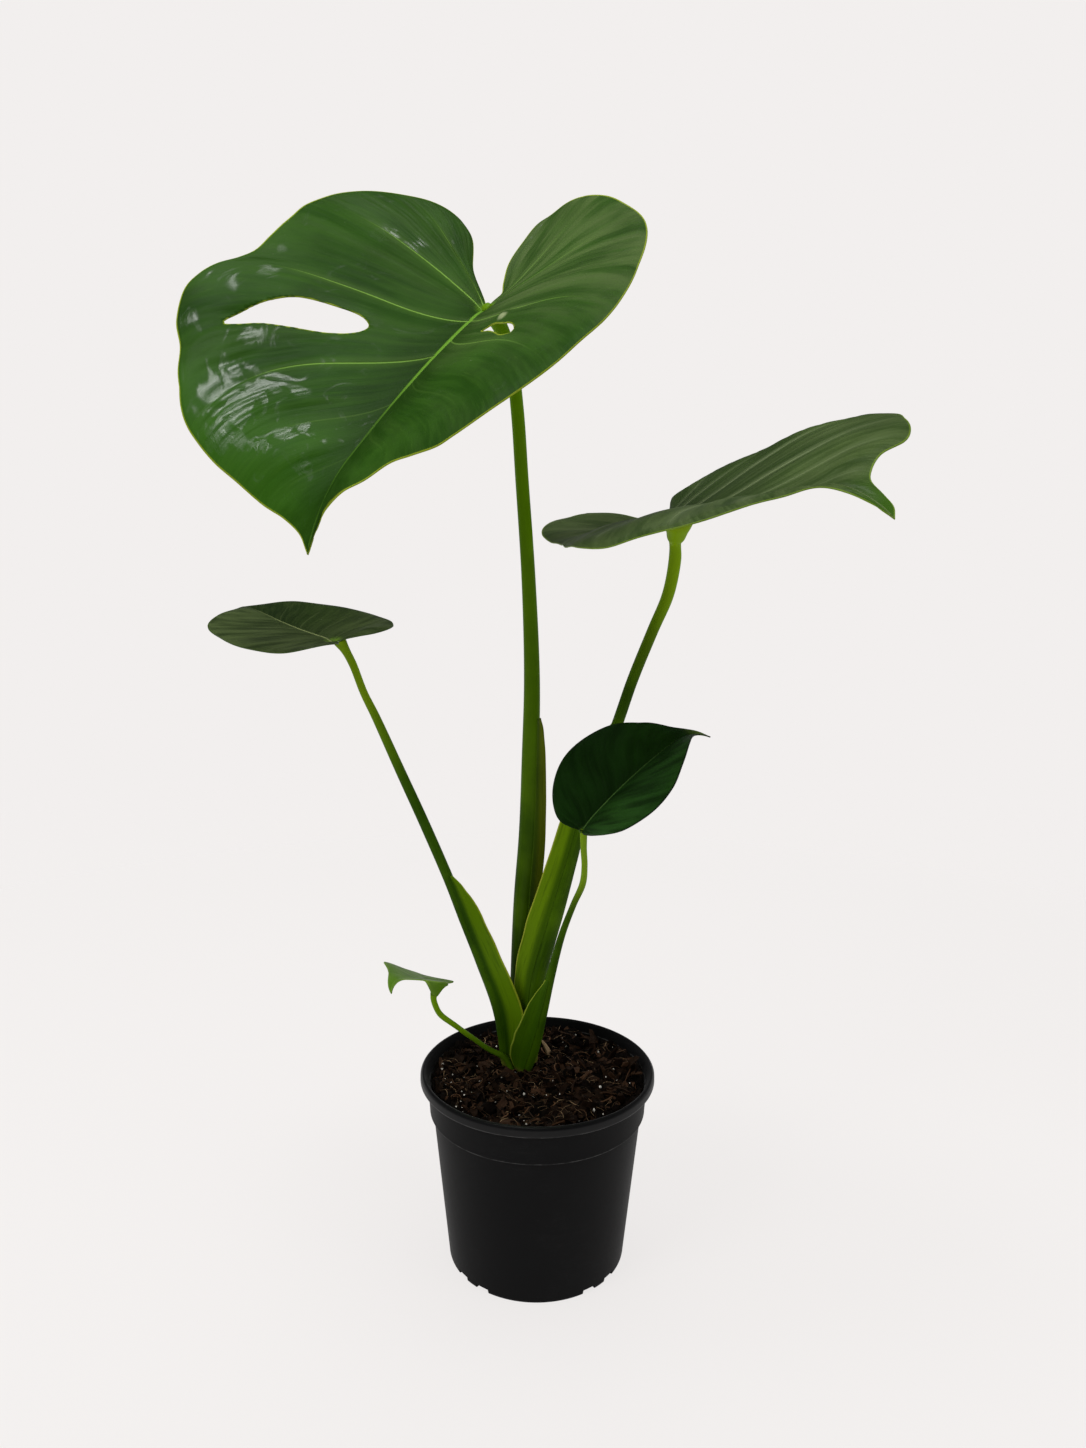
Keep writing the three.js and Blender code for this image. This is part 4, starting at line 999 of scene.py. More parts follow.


# The skin of a stalk: fine lengthwise lines on two greens, painted light on its upper stretch, a
# paler joint under the blade, a yellowish foot, and a wing that changes colour outwards to a light edge
def stalkMaterial(number, look):
    material, tree = newMaterial(f"stalkSkin{number}", {"IOR": 1.45, "Specular IOR Level": 0.07})
    place = objectPlace(tree)
    share, wingOut = readAttribute(tree, "share"), readAttribute(tree, "wingOut")
    patches = spread(noiseOf(place, 26, 4), 0.35, 0.65)
    lines = streakNoise(tree, 30, 1.1, 3, 0.5)
    wing = spread(timesPlus(lines, 0.16, wingOut), 0.3, 0.62)
    wing = tint(wing, look["wingNear"], look["wingFar"])
    wing = tint(spread(lines, 0.5, 0.75, 0.0, 0.5), wing, np.array(look["wingNear"]) * 0.8)
    body = layered(
        tint(patches, look["deep"], look["light"]),
        (spread(lines, 0.45, 0.75, 0.0, 0.45), look["light"]),
        # Painted light: the upper stretch of the stalk is made brighter in the colour high
        (spread(share, *look["paintedLightSpan"], 0.0, 0.9), look["high"]),
        (spread(share, 0.9, 0.96, 0.0, 0.7), look["joint"]),
        (spread(wingOut, 0.02, 0.2, 0.0, 0.9), wing),
        (spread(wingOut, 0.93, 1.0, 0.0, 0.8), look["edge"]),
        (spread(share, 0.0, 0.03, 0.6, 0.0), stalkTints["foot"]),
        (spread(noiseOf(place, 420, 2), 0.74, 0.82, 0.0, 0.25), stalkTints["fleck"]),
    )
    rough = spread(lines, 0.2, 0.8, 0.34, 0.5)
    wrinkles = times(noiseOf(place, 260, 3), spread(share, 0.9, 0.96, 0.1, 0.5))
    return finish(material, body, rough, timesPlus(lines, 0.7, wrinkles), 0.0004, 0.5)


# How finely a stalk is worked out, and the channel along its front as a share of its radius
stalkRules = dict(spanPoints=10, sides=28, channel=0.06, channelAngle=70, wingRows=150, wingColumns=18)


# A stalk with its wing in one piece
def makeStalk(number, look):
    route = curveThrough(look["route"], stalkRules["spanPoints"])
    channelAngle = np.radians(stalkRules["channelAngle"])
    points, walls, caps, share, turn = tube(route, stalkRules["sides"], stalkRules["channel"], channelAngle)
    out = np.zeros(len(points))
    groups = [(walls, 0, True), (caps, 0, True)]
    if look["wing"]:
        rows, columns = stalkRules["wingRows"], stalkRules["wingColumns"]
        sheet, wingShare, wingOut = wingSheet(route, look["wing"], look["ripple"], rows, columns)
        index = np.arange(len(sheet)).reshape(rows, columns)
        thin = 0.5 - 0.25 * wingOut
        body, upper, lower, rim = thicken(sheet, gridFaces(index), thin, thin)
        shift = len(points)
        points = np.vstack([points, body])
        groups += [(upper + shift, 0, True), (lower + shift, 0, True), (rim + shift, 0, True)]
        share = np.concatenate([share, wingShare, wingShare])
        turn = np.concatenate([turn, 0.3 * wingOut, 0.3 * wingOut])
        out = np.concatenate([out, 0.1 + 0.9 * wingOut, 0.1 + 0.9 * wingOut])
    attributes = {"share": share, "wingOut": out}
    surfaceMap = np.column_stack([turn, share * len(look["route"])])
    skin = stalkMaterial(number, look)
    piece = makePiece(f"leafStalk{number}", points, groups, [skin], attributes, surfaceMap)
    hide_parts(f"petiole_{number}")
    print(f"leaf stalk {number}: {len(walls)} cells")


for index, look in enumerate(stalks, 1):
    makeStalk(index, look)


# The pot: a thin wall turned round, with a rolled lip, a band, a shoulder and notched feet
potShape = dict(
    rim=75.0, height=127.0, foot=57.1, wall=1.5, lipHeight=6.5, lipOverhang=4.5, bandHeight=20.0,
    shoulderStep=2.3, footRecess=3.0, floor=2.0, pad=12.0, notchAngles=(36, 54), notchWidth=9.5,
    drainRadius=4.5, drainCircle=42.0, columns=360, floorRings=46, floorSides=192,
)
lipBottom = potShape["height"] - potShape["lipHeight"]
shoulder = lipBottom - potShape["bandHeight"]
band = potShape["rim"] - potShape["lipOverhang"]


# A profile with its corners rounded: each turns along (1-u)^2 start + 2u(1-u) corner + u^2 end,
# from and to a place on its two sides that lies radius away, or less where a side is short
def roundedRun(corners, radius, steps=5):
    corners = np.array(corners, float)
    out = [corners[:1]]
    for before, corner, after in zip(corners[:-2], corners[1:-1], corners[2:]):
        back, on = before - corner, after - corner
        reach = min(radius, 0.45 * np.linalg.norm(back), 0.45 * np.linalg.norm(on))
        start = corner + back / np.linalg.norm(back) * reach
        end = corner + on / np.linalg.norm(on) * reach
        u = np.linspace(0, 1, steps)[:, None]
        out.append((1 - u) ** 2 * start + 2 * u * (1 - u) * corner + u**2 * end)
    out.append(corners[-1:])
    return np.vstack(out)


# The wall as radius and height against angle. Inside a notch no point is lower than the recess.
def makePotWall(shape, material):
    ledge = band - 1.5
    body = ledge - shape["shoulderStep"]
    foot, rim, top, wall = shape["foot"], shape["rim"], shape["height"], shape["wall"]
    outline = roundedRun([
        (foot - 4, shape["footRecess"]), (foot - 3.2, 0), (foot - 0.6, 0), (foot, 1.6), (foot + 0.15, 3.6),
        (body, shoulder - 1.6), (ledge, shoulder - 0.2), (ledge + 0.1, shoulder + 2.4),
        (band, lipBottom + 0.1), (rim - 0.5, lipBottom), (rim, lipBottom + 1), (rim - 0.1, top - 1.6),
        (rim - 1.2, top - 0.2), (rim - 2.4, top), (rim - 3.6, top - 0.8), (band - wall, lipBottom),
        (ledge - wall, shoulder + 0.8), (body - wall, shoulder - 0.6),
        (foot - wall, shape["footRecess"] + shape["floor"]),
    ], 0.7)
    half = np.degrees(np.arcsin(0.5 * shape["notchWidth"] / foot))
    edges = [90 * quarter + middle + side * (half + shift) for quarter in range(4)
             for middle in shape["notchAngles"] for side in (-1, 1) for shift in (-0.15, 0.15)]
    angle = np.unique(np.concatenate([np.arange(0, 360, 360 / shape["columns"]), edges]))
    quarterTurn = angle % 90
    inNotch = np.any([abs(quarterTurn - middle) < half for middle in shape["notchAngles"]], axis=0)
    height = np.where(inNotch[None], np.maximum(outline[:, 1:], shape["footRecess"]), outline[:, 1:])
    radius = np.broadcast_to(outline[:, :1], height.shape)
    turn = np.radians(angle)[None]
    points = np.stack([radius * np.cos(turn), radius * np.sin(turn), height], axis=-1).reshape(-1, 3)
    index = np.arange(len(points)).reshape(height.shape)
    piece = makePiece("potWall", points, [(roundFaces(index)[:, ::-1], 0, True)], [material])
    sharpen(piece, 40)
    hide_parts("pot")


# Shades a piece smooth except over edges steeper than an angle
def sharpen(piece, degrees):
    mesh = piece.data
    edges = np.zeros(len(mesh.edges) * 2, np.int32)
    mesh.edges.foreach_get("vertices", edges)
    corners = np.zeros(len(mesh.loops), np.int32)
    mesh.loops.foreach_get("edge_index", corners)
    normals = np.zeros(len(mesh.polygons) * 3)
    mesh.polygons.foreach_get("normal", normals)
    starts = np.zeros(len(mesh.polygons), np.int32)
    mesh.polygons.foreach_get("loop_total", starts)
    owner = np.repeat(np.arange(len(mesh.polygons)), starts)
    order = np.argsort(corners, kind="stable")
    sortedEdges, sortedOwner = corners[order], owner[order]
    pairs = np.flatnonzero(sortedEdges[:-1] == sortedEdges[1:])
    normals = normals.reshape(-1, 3)
    agree = (normals[sortedOwner[pairs]] * normals[sortedOwner[pairs + 1]]).sum(axis=1)
    sharp = np.zeros(len(mesh.edges), bool)
    sharp[sortedEdges[pairs]] = agree < np.cos(np.radians(degrees))
    mesh.attributes.new("sharp_edge", "BOOLEAN", "EDGE").data.foreach_set("value", sharp)


# The raised floor: a thin disc with a pad in its middle and eight drain holes
def makePotFloor(shape, material):
    rings, sides = shape["floorRings"], shape["floorSides"]
    radius = np.linspace(0.6, shape["foot"] - 2.6, rings)
    flat = onCircle(wholeTurn(sides), radius[:, None]).reshape(-1, 2)
    faces = roundFaces(np.arange(len(flat)).reshape(rings, sides))
    ring = onCircle(wholeTurn(120), shape["drainRadius"])
    middles = onCircle(np.radians(np.arange(8) * 45 + 22.5), shape["drainCircle"])
    holes = [ring + middle for middle in middles]
    flat, faces = openHoles(flat, faces, holes)
    level = np.full((len(flat), 1), shape["footRecess"] + shape["floor"])
    sheet = np.hstack([flat, level])
    away = np.hypot(flat[:, 0], flat[:, 1])
    depth = shape["floor"] + shape["footRecess"] * (1 - smoothStep(away, shape["pad"], shape["pad"] + 1.5))
    points, upper, lower, rim = thicken(sheet, faces, np.zeros(len(sheet)), depth)
    groups = [(upper, 0, False), (lower, 0, False), (rim, 0, False)]
    makePiece("potFloor", points, groups, [material])


# Colours of the plastic, of its scratches and specks, and of the pale lines that are partly rubbed wear and
# partly a painted highlight on the edges
potTints = dict(
    dark=(8, 8, 9), light=(14, 14, 15), scratch=(90, 90, 88), speck=(150, 148, 142), wearAndHighlight=(116, 116, 114),
)


# Black moulded plastic: a fine matt grain, a shinier lip, dust specks, hair scratches and pale
# lines along the shoulder and under the lip, partly rubbed wear and partly a painted edge highlight
def potMaterial():
    fixed = {"IOR": 1.5, "Sheen Weight": 0.09, "Sheen Roughness": 0.3}
    material, tree = newMaterial("potPlastic", fixed)
    place = objectPlace(tree)
    level = put(tree, "ShaderNodeSeparateXYZ", {"Vector": place}).outputs["Z"]
    patches = noiseOf(place, 18, 5)
    slanted = stretched(place, (1, 1, 14), (0.5, 0.9, 0.3))
    scratch = reckon("SUBTRACT", noiseOf(slanted, 45, 5, 0.7, 1.2), 0.5)
    scratch = spread(reckon("ABSOLUTE", scratch), 0.0, 0.004, 0.25, 0.0)
    scratch = times(scratch, spread(patches, 0.5, 0.62))
    speck = spread(cellGap(place, 190.0), 0.02, 0.06, 0.8, 0.0)
    speckChance = spread(noiseOf(place, 60, 2), 0.62, 0.7)
    wearAndHighlight = spread(noiseOf(place, 120, 4, 0.7), 0.4, 0.66)
    body = layered(
        tint(patches, potTints["dark"], potTints["light"]),
        (scratch, potTints["scratch"]),
        (times(speck, speckChance), potTints["speck"]),
    )
    # Pale lines at the shoulder and under the lip: partly rubbed wear, partly a painted highlight on the
    # edges
    for height, share in ((shoulder - 0.1, 0.5), (lipBottom + 0.2, 0.7)):
        near = reckon("ABSOLUTE", reckon("SUBTRACT", level, height * mm))
        line = times(spread(near, 0.0, 0.5 * mm, share, 0.0), wearAndHighlight)
        body = tint(line, body, potTints["wearAndHighlight"])
    flat = put(tree, "ShaderNodeVectorMath", {0: place, 1: (1, 1, 0)}, operation="MULTIPLY")
    away = lengthOf(flat.outputs["Vector"])
    lip = times(
        spread(level, (lipBottom - 1) * mm, (lipBottom + 1) * mm),
        spread(away, (band + 1.1) * mm, (band + 2.3) * mm),
    )
    rough = timesPlus(lip, -0.16, timesPlus(patches, 0.12, 0.44))
    rough = timesPlus(scratch, -0.1, rough)
    dents = times(noiseOf(place, 140, 3), 0.5)
    height = timesPlus(noiseOf(place, 2200, 2), 0.5, dents)
    wire(material, {"Specular IOR Level": spread(lip, 0.0, 1.0, 0.15, 0.38)})
    return finish(material, body, rough, timesPlus(scratch, -0.5, height), 0.00012, 0.7)


plastic = potMaterial()
makePotWall(potShape, plastic)
makePotFloor(potShape, plastic)
print("pot made")


# The soil: a lumpy bed of dark compost with bark chips, crumbs, coir and white grains on it
soilShape = dict(
    level=118.0, radius=68.2, bottom=5.4, crown=(-12.5, 19.5), crownFade=(18, 30), lumps=1.1, heap=3.4,
    heapSpan=(38, 64), crumbs=((1.9, 6.5, 3), (1.2, 3.0, 4), (0.6, 1.5, 5)), sink=2.6, rings=150, sides=300,
    inside=[(67.0, 103.0), (65.0, 99.8), (55.6, 5.4), (0.2, 5.4)],
)
bitCounts = dict(chips=760, crumbs=800, curls=190, fibres=220, grains=120)


# The bed's height: three broad waves as in the part, level near the crown, a heap towards the wall
# and over them ridged crumbs as (height, size, seed), all sunk by as much as the crumbs stand up
def soilHeight(x, y):
    crown = soilShape["crown"]
    waves = (
        np.sin(0.21 * x + 0.9) * np.cos(0.17 * y)
        + 0.7 * np.sin(0.37 * x - 0.29 * y + 2)
        + 0.5 * np.cos(0.11 * x + 0.47 * y)
    )
    away = np.hypot(x - crown[0], y - crown[1])
    blend = smoothStep(away, *soilShape["crownFade"])
    heap = soilShape["heap"] * smoothStep(np.hypot(x, y), *soilShape["heapSpan"])
    height = (1 - blend) * 0.7 + blend * soilShape["lumps"] * waves + heap
    flat = np.column_stack([np.ravel(x), np.ravel(y)])
    crumb = sum(tall * np.abs(ripples(flat, size, seed)) for tall, size, seed in soilShape["crumbs"])
    return soilShape["level"] + height + crumb.reshape(np.shape(x)) - soilShape["sink"]


# The bed as rings from its middle out, then down the inside of the pot and in again below
def makeSoilBed(material):
    rings, sides = soilShape["rings"], soilShape["sides"]
    radius = soilShape["radius"] * np.linspace(0, 1, rings) ** 0.7
    radius[0] = 0.2
    angle = wholeTurn(sides)
    x, y = radius[:, None] * np.cos(angle), radius[:, None] * np.sin(angle)
    top = np.stack([x, y, soilHeight(x, y)], axis=-1).reshape(-1, 3)
    lower = [np.column_stack([onCircle(angle, r), np.full(sides, h)]) for r, h in soilShape["inside"]]
    points = np.vstack([top] + lower)
    index = np.arange(len(points)).reshape(-1, sides)
    caps = np.vstack([fanFaces(index[0], len(points))[:, ::-1], fanFaces(index[-1], len(points) + 1)])
    middles = [(0, 0, top[:sides, 2].mean()), (0, 0, soilShape["bottom"])]
    points = np.vstack([points, middles])
    groups = [(roundFaces(index), 0, True), (caps, 0, True)]
    piece = makePiece("soilBed", points, groups, [material])
    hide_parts("soil")


# Random places on the bed, evenly over its disc, outside the crown's foot
def scatter(chance, count, reach, clear=9.0):
    angle = chance.uniform(0, 2 * np.pi, 3 * count)
    radius = reach * np.sqrt(chance.uniform(0, 1, 3 * count))
    places = onCircle(angle, radius)
    crown = np.array(soilShape["crown"])
    free = np.linalg.norm(places - crown, axis=1) > clear
    return places[free][:count]


# Turning matrices: a roll about x first, then a tilt about y and last a spin about the upright z
def turns(spin, tilt, roll):
    cs, ss = np.cos(spin), np.sin(spin)
    ct, st = np.cos(tilt), np.sin(tilt)
    cr, sr = np.cos(roll), np.sin(roll)
    zero, one = np.zeros_like(spin), np.ones_like(spin)
    about = np.stack([cs, -ss, zero, ss, cs, zero, zero, zero, one], axis=-1).reshape(-1, 3, 3)
    tip = np.stack([ct, zero, st, zero, one, zero, -st, zero, ct], axis=-1).reshape(-1, 3, 3)
    lean = np.stack([one, zero, zero, zero, cr, -sr, zero, sr, cr], axis=-1).reshape(-1, 3, 3)
    return about @ tip @ lean


# Moves shapes that reach past the pot's inside back towards the middle
def keepInside(shapes, limit=67.6):
    reach = np.linalg.norm(shapes[:, :, :2], axis=2).max(axis=1)
    centre = shapes[:, :, :2].mean(axis=1)
    away = np.maximum(np.linalg.norm(centre, axis=1), 1e-6)
    over = np.maximum(reach - limit, 0)
    shapes[:, :, :2] -= (centre / away[:, None] * over[:, None])[:, None]
    return shapes


# Strews shapes over the bed: each is spun and leant at random, then set down at a random place, as
# high as the bed and its lift, which is a height or a span of heights
def strew(chance, shapes, reach, lift, leans=None):
    count = len(shapes)
    if leans:
        spin = chance.uniform(0, 6.28, count)
        tilt, roll = (chance.normal(0, lean, count) for lean in leans)
        shapes = np.einsum("nij,nkj->nki", turns(spin, tilt, roll), shapes)
    places = scatter(chance, count, reach)
    if isinstance(lift, tuple):
        lift = chance.uniform(*lift, count)
    height = soilHeight(places[:, 0], places[:, 1]) + lift
    return keepInside(shapes + np.column_stack([places, height])[:, None])


# One piece of many small closed shapes with the same faces, told as (faces, smooth) groups. Each
# shape is its own slice of the points and gets one random shade.
def makeBits(name, shapes, shapeGroups, chance, material):
    count, corners = shapes.shape[:2]
    shift = (np.arange(count) * corners)[:, None, None]
    groups = [
        ((faces[None] + shift).reshape(-1, faces.shape[1]), 0, smooth) for faces, smooth in shapeGroups
    ]
    shade = np.repeat(chance.uniform(0, 1, count), corners)
    makePiece(name, shapes.reshape(-1, 3), groups, [material], {"shade": shade})


# Bark chips: bent splinters, each a small grid of 5 by 3 places on both faces. A chip is long by
# wide, its middle line sinks by half of bend u^2 at its ends, and its outline is jagged.
def makeChips(material):
    chance = np.random.default_rng(7)
    count, places, rows = bitCounts["chips"], 5, 3
    u, v = np.meshgrid(np.linspace(-1, 1, places), np.linspace(-1, 1, rows), indexing="ij")
    u, v = u.ravel(), v.ravel()
    long = chance.gamma(3.0, 1.0, count)[:, None] + 1.2
    wide = long * chance.uniform(0.16, 0.5, (count, 1))
    thick = chance.uniform(0.3, 0.9, (count, 1))
    bend = chance.uniform(-0.2, 1.3, (count, 1)) * long
    jag = chance.normal(0, 0.16, (count, u.size, 2))
    x = long * (u + 0.4 * jag[:, :, 0])
    y = wide * (v * (1 - 0.35 * u**2) + 0.6 * jag[:, :, 1])
    z = -bend * u**2 * 0.5 + 0.25 * wide * v**2 + chance.normal(0, 0.15, (count, u.size))
    upper = np.stack([x, y, z + thick / 2], axis=-1)
    lower = np.stack([x, y, z - thick / 2], axis=-1)
    shapes = np.concatenate([upper, lower], axis=1)
    shapes = strew(chance, shapes, 64.0, (-0.5, 1.5), (0.6, 0.8))
    top = gridFaces(np.arange(u.size).reshape(places, rows))
    a, b = openEdges(top).T
    faces = np.vstack([top, top[:, ::-1] + u.size, np.column_stack([b, a, a + u.size, b + u.size])])
    makeBits("barkChips", shapes, [(faces, False)], chance, material)


# Thin strands: each follows an arc of its own length and curl, as a three-sided tube
def makeStrands(name, count, length, curl, thick, seed, lift, material):
    chance = np.random.default_rng(seed)
    steps, corners = 9, (0.5, 2.6, 4.7)
    u = np.linspace(-0.5, 0.5, steps)[None]
    size = chance.uniform(*length, (count, 1))
    turn = chance.uniform(*curl, (count, 1)) * chance.choice([-1, 1], (count, 1))
    wobble = chance.normal(0, 0.06, (count, steps)).cumsum(axis=1)
    x = size * np.sin(turn * u) / turn + wobble
    y = size * (1 - np.cos(turn * u)) / turn + 0.6 * wobble[:, ::-1]
    arch = chance.uniform(0, 0.16, (count, 1)) * size * (0.25 - u**2) * 4
    centres = np.stack([x, y, arch], axis=-1)
    centres = strew(chance, centres, 63.0, lift, (0.3, 0.35))
    width = chance.uniform(*thick, (count, 1)) * np.sqrt(np.clip(1 - (2.04 * u) ** 4, 0.03, 1))
    along = unit(np.gradient(centres, axis=1))
    side = unit(np.cross(along, [0, 0, 1]))
    top = np.cross(side, along)
    ring = [centres + width[:, :, None] * (side * np.cos(a) + top * np.sin(a)) for a in corners]
    shapes = np.stack(ring, axis=2).reshape(count, -1, 3)
    index = np.arange(shapes.shape[1]).reshape(steps, -1)
    ends = np.array([index[0, ::-1], index[-1]])
    makeBits(name, shapes, [(roundFaces(index), True), (ends, False)], chance, material)


# Grains: small knobbly lumps, each four rings of seven places closed by a fan at both ends
def makeGrains(name, count, size, seed, reach, lift, material):
    chance = np.random.default_rng(seed)
    up, sides = np.array([-0.94, -0.35, 0.35, 0.94]), 7
    angle, ring = wholeTurn(sides), np.sqrt(1 - up**2)[:, None]
    ball = np.stack([ring * np.cos(angle), ring * np.sin(angle), up[:, None] + 0 * angle], axis=-1)
    ball = ball.reshape(-1, 3)
    scale = size[0] + chance.gamma(1.6, size[1], (count, 1, 1))
    shapes = ball[None] * scale * (1 + chance.normal(0, 0.14, (count, len(ball), 1)))
    shapes = shapes * chance.uniform(0.65, 1.3, (count, 1, 3))
    shapes = strew(chance, shapes, reach, lift)
    index = np.arange(len(ball)).reshape(-1, sides)
    low, high = (
        np.column_stack([np.full(sides - 2, row[0]), row[1:-1], row[2:]]) for row in index[[0, -1]]
    )
    caps = np.vstack([low[:, ::-1], high])
    makeBits(name, shapes, [(roundFaces(index)[:, ::-1], True), (caps, True)], chance, material)


# Dark compost: near-black and brown crumbs, with painted shade in the hollows
def soilMaterial():
    material, tree = newMaterial("compost", {"IOR": 1.4, "Specular IOR Level": 0.25})
    place = objectPlace(tree)
    coarse = noiseOf(place, 90, 6, 0.65)
    fine = noiseOf(place, 520, 4, 0.7)
    clods = cellGap(place, 420.0)
    body = layered(
        tint(spread(coarse, 0.35, 0.68), (5, 3, 2), (20, 13, 8)),
        (spread(fine, 0.45, 0.75, 0.0, 0.5), (30, 20, 13)),
        # Painted shade: darker in the hollows between the clods
        (spread(clods, 0.1, 0.5, 0.5, 0.0), (9, 6, 4)),
    )
    rough = spread(coarse, 0.3, 0.7, 0.72, 0.95)
    return finish(material, body, rough, timesPlus(fine, 0.7, times(clods, 0.6)), 0.0012, 0.9)


# Bark, fibre and grain: each copy has its own shade between dark and light, and a fine grain
def bitsMaterial(name, dark, light, grainScale, level):
    material, tree = newMaterial(name, {"IOR": 1.4, "Specular IOR Level": level})
    grain = noiseOf(objectPlace(tree), grainScale, 4, 0.65)
    own = times(reckon("POWER", readAttribute(tree, "shade"), 2.6), 0.75)
    mixed = timesPlus(grain, 0.55, own)
    body = tint(reckon("SUBTRACT", mixed, 0.12, clamp=True), dark, light)
    return finish(material, body, spread(grain, 0.3, 0.7, 0.55, 0.85), grain, 0.0005, 0.8)


makeSoilBed(soilMaterial())
makeChips(bitsMaterial("barkChip", (5, 3, 2), (66, 45, 30), 380, 0.15))
makeGrains("compostCrumbs", bitCounts["crumbs"], size=(0.5, 0.45), seed=17, reach=65.5, lift=0.3,
           material=bitsMaterial("compostCrumb", (4, 2, 2), (32, 21, 14), 500, 0.12))
makeStrands("coirCurls", bitCounts["curls"], length=(6, 17), curl=(1.5, 4.6), thick=(0.2, 0.55), seed=12,
            lift=1.0, material=bitsMaterial("coirCurl", (12, 8, 5), (106, 76, 52), 600, 0.2))
makeStrands("coirFibres", bitCounts["fibres"], length=(4, 14), curl=(0.2, 2.2), thick=(0.08, 0.16), seed=13,
            lift=1.3, material=bitsMaterial("coirFibre", (44, 30, 19), (176, 146, 108), 600, 0.3))
makeGrains("whiteGrains", bitCounts["grains"], size=(0.28, 0.2), seed=9, reach=65.0, lift=0.8,
           material=bitsMaterial("whiteGrain", (160, 156, 146), (232, 228, 218), 800, 0.3))
print("soil made")


# The dry bract: a thin beige scale rolled to a point beside the crown
bractRoute = [
    (8.4, 31.3, 115, 1.7), (7.8, 31, 119, 1.9), (6.4, 30.6, 123, 1.7), (4.5, 30, 127, 1.2),
    (2.6, 29.5, 130, 0.7), (0.8, 29, 132.4, 0.2),
]


def makeBract():
    material, tree = newMaterial("dryBract", {"IOR": 1.4, "Specular IOR Level": 0.3})
    lines = streakNoise(tree, 40, 2, 4, 0.6)
    blot = spread(noiseOf(objectPlace(tree), 300, 3), 0.55, 0.72, 0.0, 0.6)
    body = tint(lines, (120, 92, 62), (206, 180, 142))
    body = tint(blot, body, (104, 74, 50))
    finish(material, body, spread(lines, 0.2, 0.8, 0.6, 0.85), lines, 0.0006, 0.9)
    points, walls, caps, share, turn = tube(curveThrough(bractRoute, 6), 18, 0.45, np.radians(60))
    groups = [(walls, 0, True), (caps, 0, True)]
    surfaceMap = np.column_stack([turn, share])
    piece = makePiece("dryBract", points, groups, [material], None, surfaceMap)
    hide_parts("dry_bract")


# The rootstock keeps its own mesh and gets a brown corky skin in rings
def dressRootstock():
    material, tree = newMaterial("rootstockSkin", {"IOR": 1.4, "Specular IOR Level": 0.3})
    rings = noiseOf(stretched(objectPlace(tree), (1, 1, 6)), 160, 4)
    body = tint(rings, (62, 46, 28), (128, 112, 62))
    finish(material, body, spread(rings, 0.2, 0.8, 0.6, 0.8), rings, 0.0006, 0.8)
    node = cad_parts["rootstock"]
    if not node.material_slots:
        node.data.materials.append(material)
    for slot in node.material_slots:
        slot.material = material


makeBract()
dressRootstock()
print("bract and rootstock dressed")


# A plain pale studio: a floor that fades into the backdrop, soft light from the upper left, the
# top and the right, and a bright room behind the plant
studio = dict(
    backdrop=(242, 239, 238), floorColor=(89, 88, 87), floorGlow=0.866, floorRadius=1.6, fadeStart=0.75,
    fadeEnd=1.5, frontLight=0.28, backLight=0.95, topLight=0.75, mirroredLow=0.58, mirroredHigh=0.05,
    mirroredFloor=0.34,
)
lamps = [
    dict(name="softLeft", place=(-1.25, -1.1, 1.45), aim=(0, 0, 0.35), size=0.8, power=15.0, mirrored=False),
    dict(name="softTop", place=(0.1, 0.15, 2.2), aim=(0, 0, 0.35), size=1.6, power=10.0, mirrored=False),
    dict(name="softRight", place=(1.5, -0.7, 1.2), aim=(0, 0, 0.35), size=0.8, power=5.0, mirrored=False),
    dict(name="shineTop", place=(-0.36, -0.3, 2.3), aim=(-0.12, -0.1, 0.55), size=0.5, power=12.0,
         mirrored=True),
]


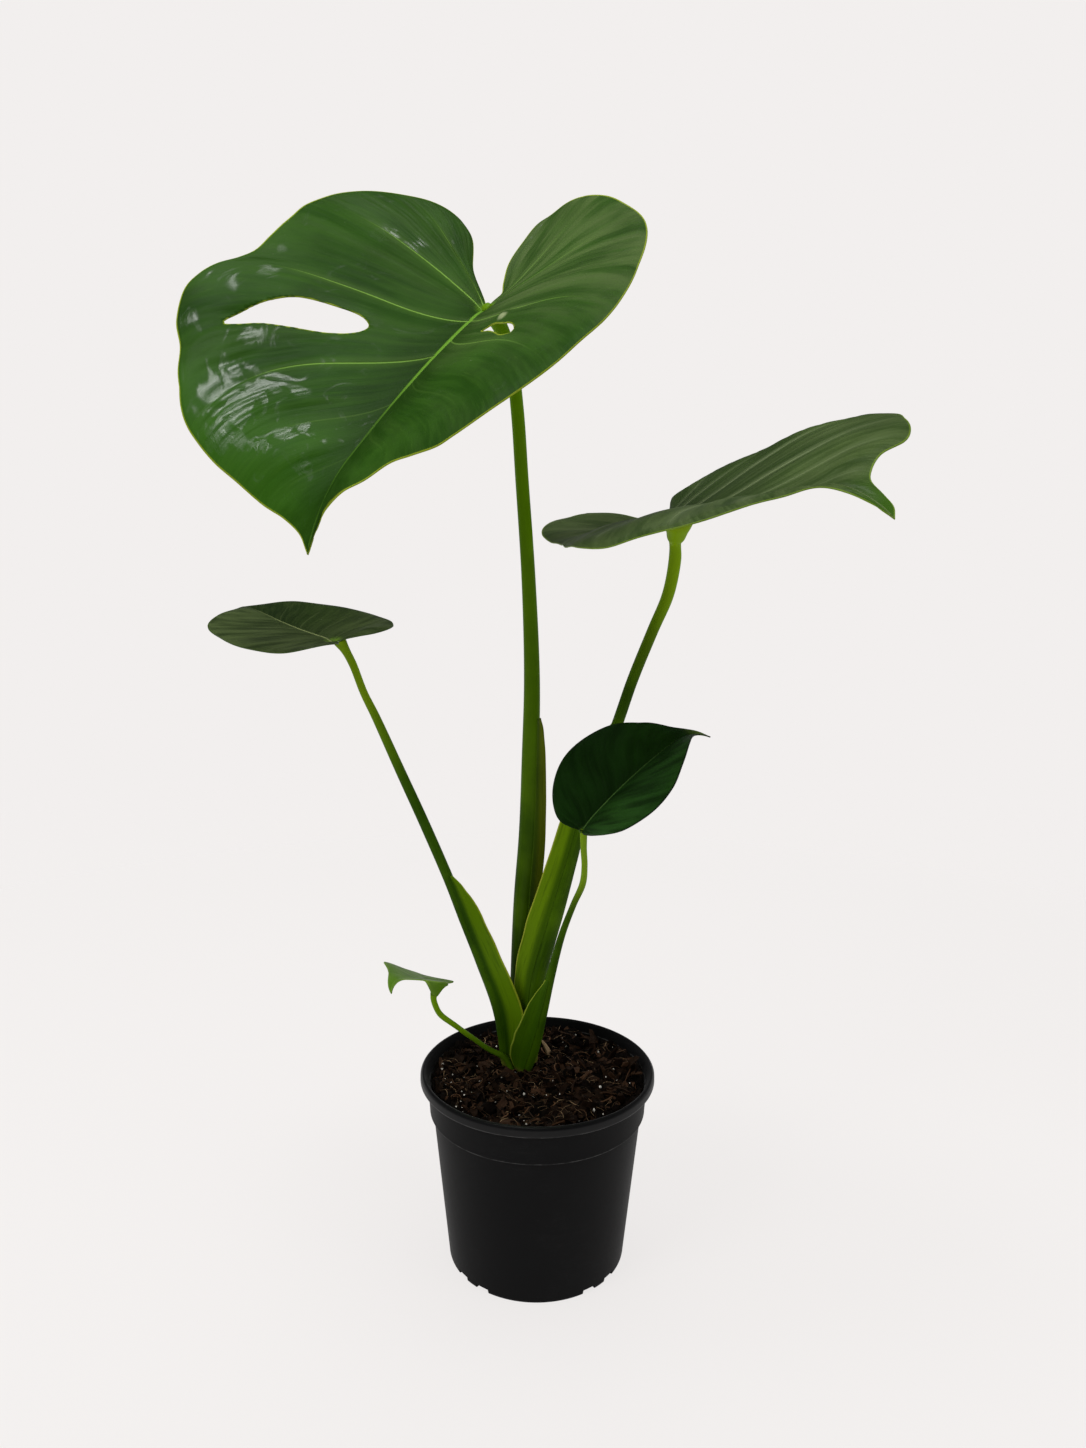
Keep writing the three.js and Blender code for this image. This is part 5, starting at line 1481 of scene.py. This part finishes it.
def addFloor():
    material, tree = newMaterial("studioFloor", {
        "Roughness": 0.8, "Specular IOR Level": 0.1, "Base Color": color(*studio["floorColor"]),
        "Emission Color": color(*studio["backdrop"]),
    })
    away = lengthOf(objectPlace(tree))
    glossy = put(tree, "ShaderNodeLightPath").outputs["Is Glossy Ray"]
    full, loss = studio["floorGlow"], 1 - studio["mirroredFloor"]
    wire(material, {
        "Alpha": spread(away, studio["fadeStart"], studio["fadeEnd"], 1.0, 0.0),
        "Emission Strength": timesPlus(glossy, -full * loss, full),
    })
    angle = wholeTurn(96)
    ring = np.column_stack([onCircle(angle, studio["floorRadius"]), 0 * angle])
    mesh = bpy.data.meshes.new("studioFloor")
    mesh.from_pydata(ring.tolist(), [], [list(range(len(ring)))])
    mesh.materials.append(material)
    floor = bpy.data.objects.new("studioFloor", mesh)
    scene.collection.objects.link(floor)


# The room: the backdrop's plain colour to the eye, a soft light that is brighter behind the plant
# and overhead than in front of it, and less of it in reflections
def addRoom():
    world = bpy.data.worlds.new("studioRoom")
    scene.world = world
    world.use_nodes = True
    tree = world.node_tree
    tree.nodes.clear()
    turned = put(tree, "ShaderNodeTexCoord").outputs["Generated"]
    way = put(tree, "ShaderNodeSeparateXYZ", {"Vector": turned})
    depth = spread(way.outputs["Y"], -0.5, 0.7, studio["frontLight"], studio["backLight"])
    above = spread(way.outputs["Z"], 0.2, 0.9, 0.0, studio["topLight"])
    paths = put(tree, "ShaderNodeLightPath")
    loss = spread(way.outputs["Z"], 0.0, 0.3, 1 - studio["mirroredLow"], 1 - studio["mirroredHigh"])
    dimmed = timesPlus(times(paths.outputs["Is Glossy Ray"], loss), -1.0, 1.0)
    glow = times(reckon("MAXIMUM", depth, above), dimmed)
    light = put(tree, "ShaderNodeBackground", {"Color": (1, 0.99, 0.98, 1), "Strength": glow})
    seen = put(tree, "ShaderNodeBackground", {"Color": color(*studio["backdrop"]), "Strength": 1.0})
    parts = {0: paths.outputs["Is Camera Ray"], 1: light.outputs[0], 2: seen.outputs[0]}
    mixed = put(tree, "ShaderNodeMixShader", parts)
    put(tree, "ShaderNodeOutputWorld", {"Surface": mixed.outputs[0]})


def addLamps():
    for lamp in lamps:
        data = bpy.data.lights.new(lamp["name"], "AREA")
        data.shape = "SQUARE"
        data.size = lamp["size"]
        data.energy = lamp["power"]
        made = bpy.data.objects.new(lamp["name"], data)
        place = Vector(lamp["place"])
        made.location = place
        made.rotation_euler = (Vector(lamp["aim"]) - place).to_track_quat("-Z", "Y").to_euler()
        made.visible_glossy = lamp["mirrored"]
        scene.collection.objects.link(made)


addFloor()
addRoom()
addLamps()
scene.view_settings.view_transform = "Standard"
print("studio lit")
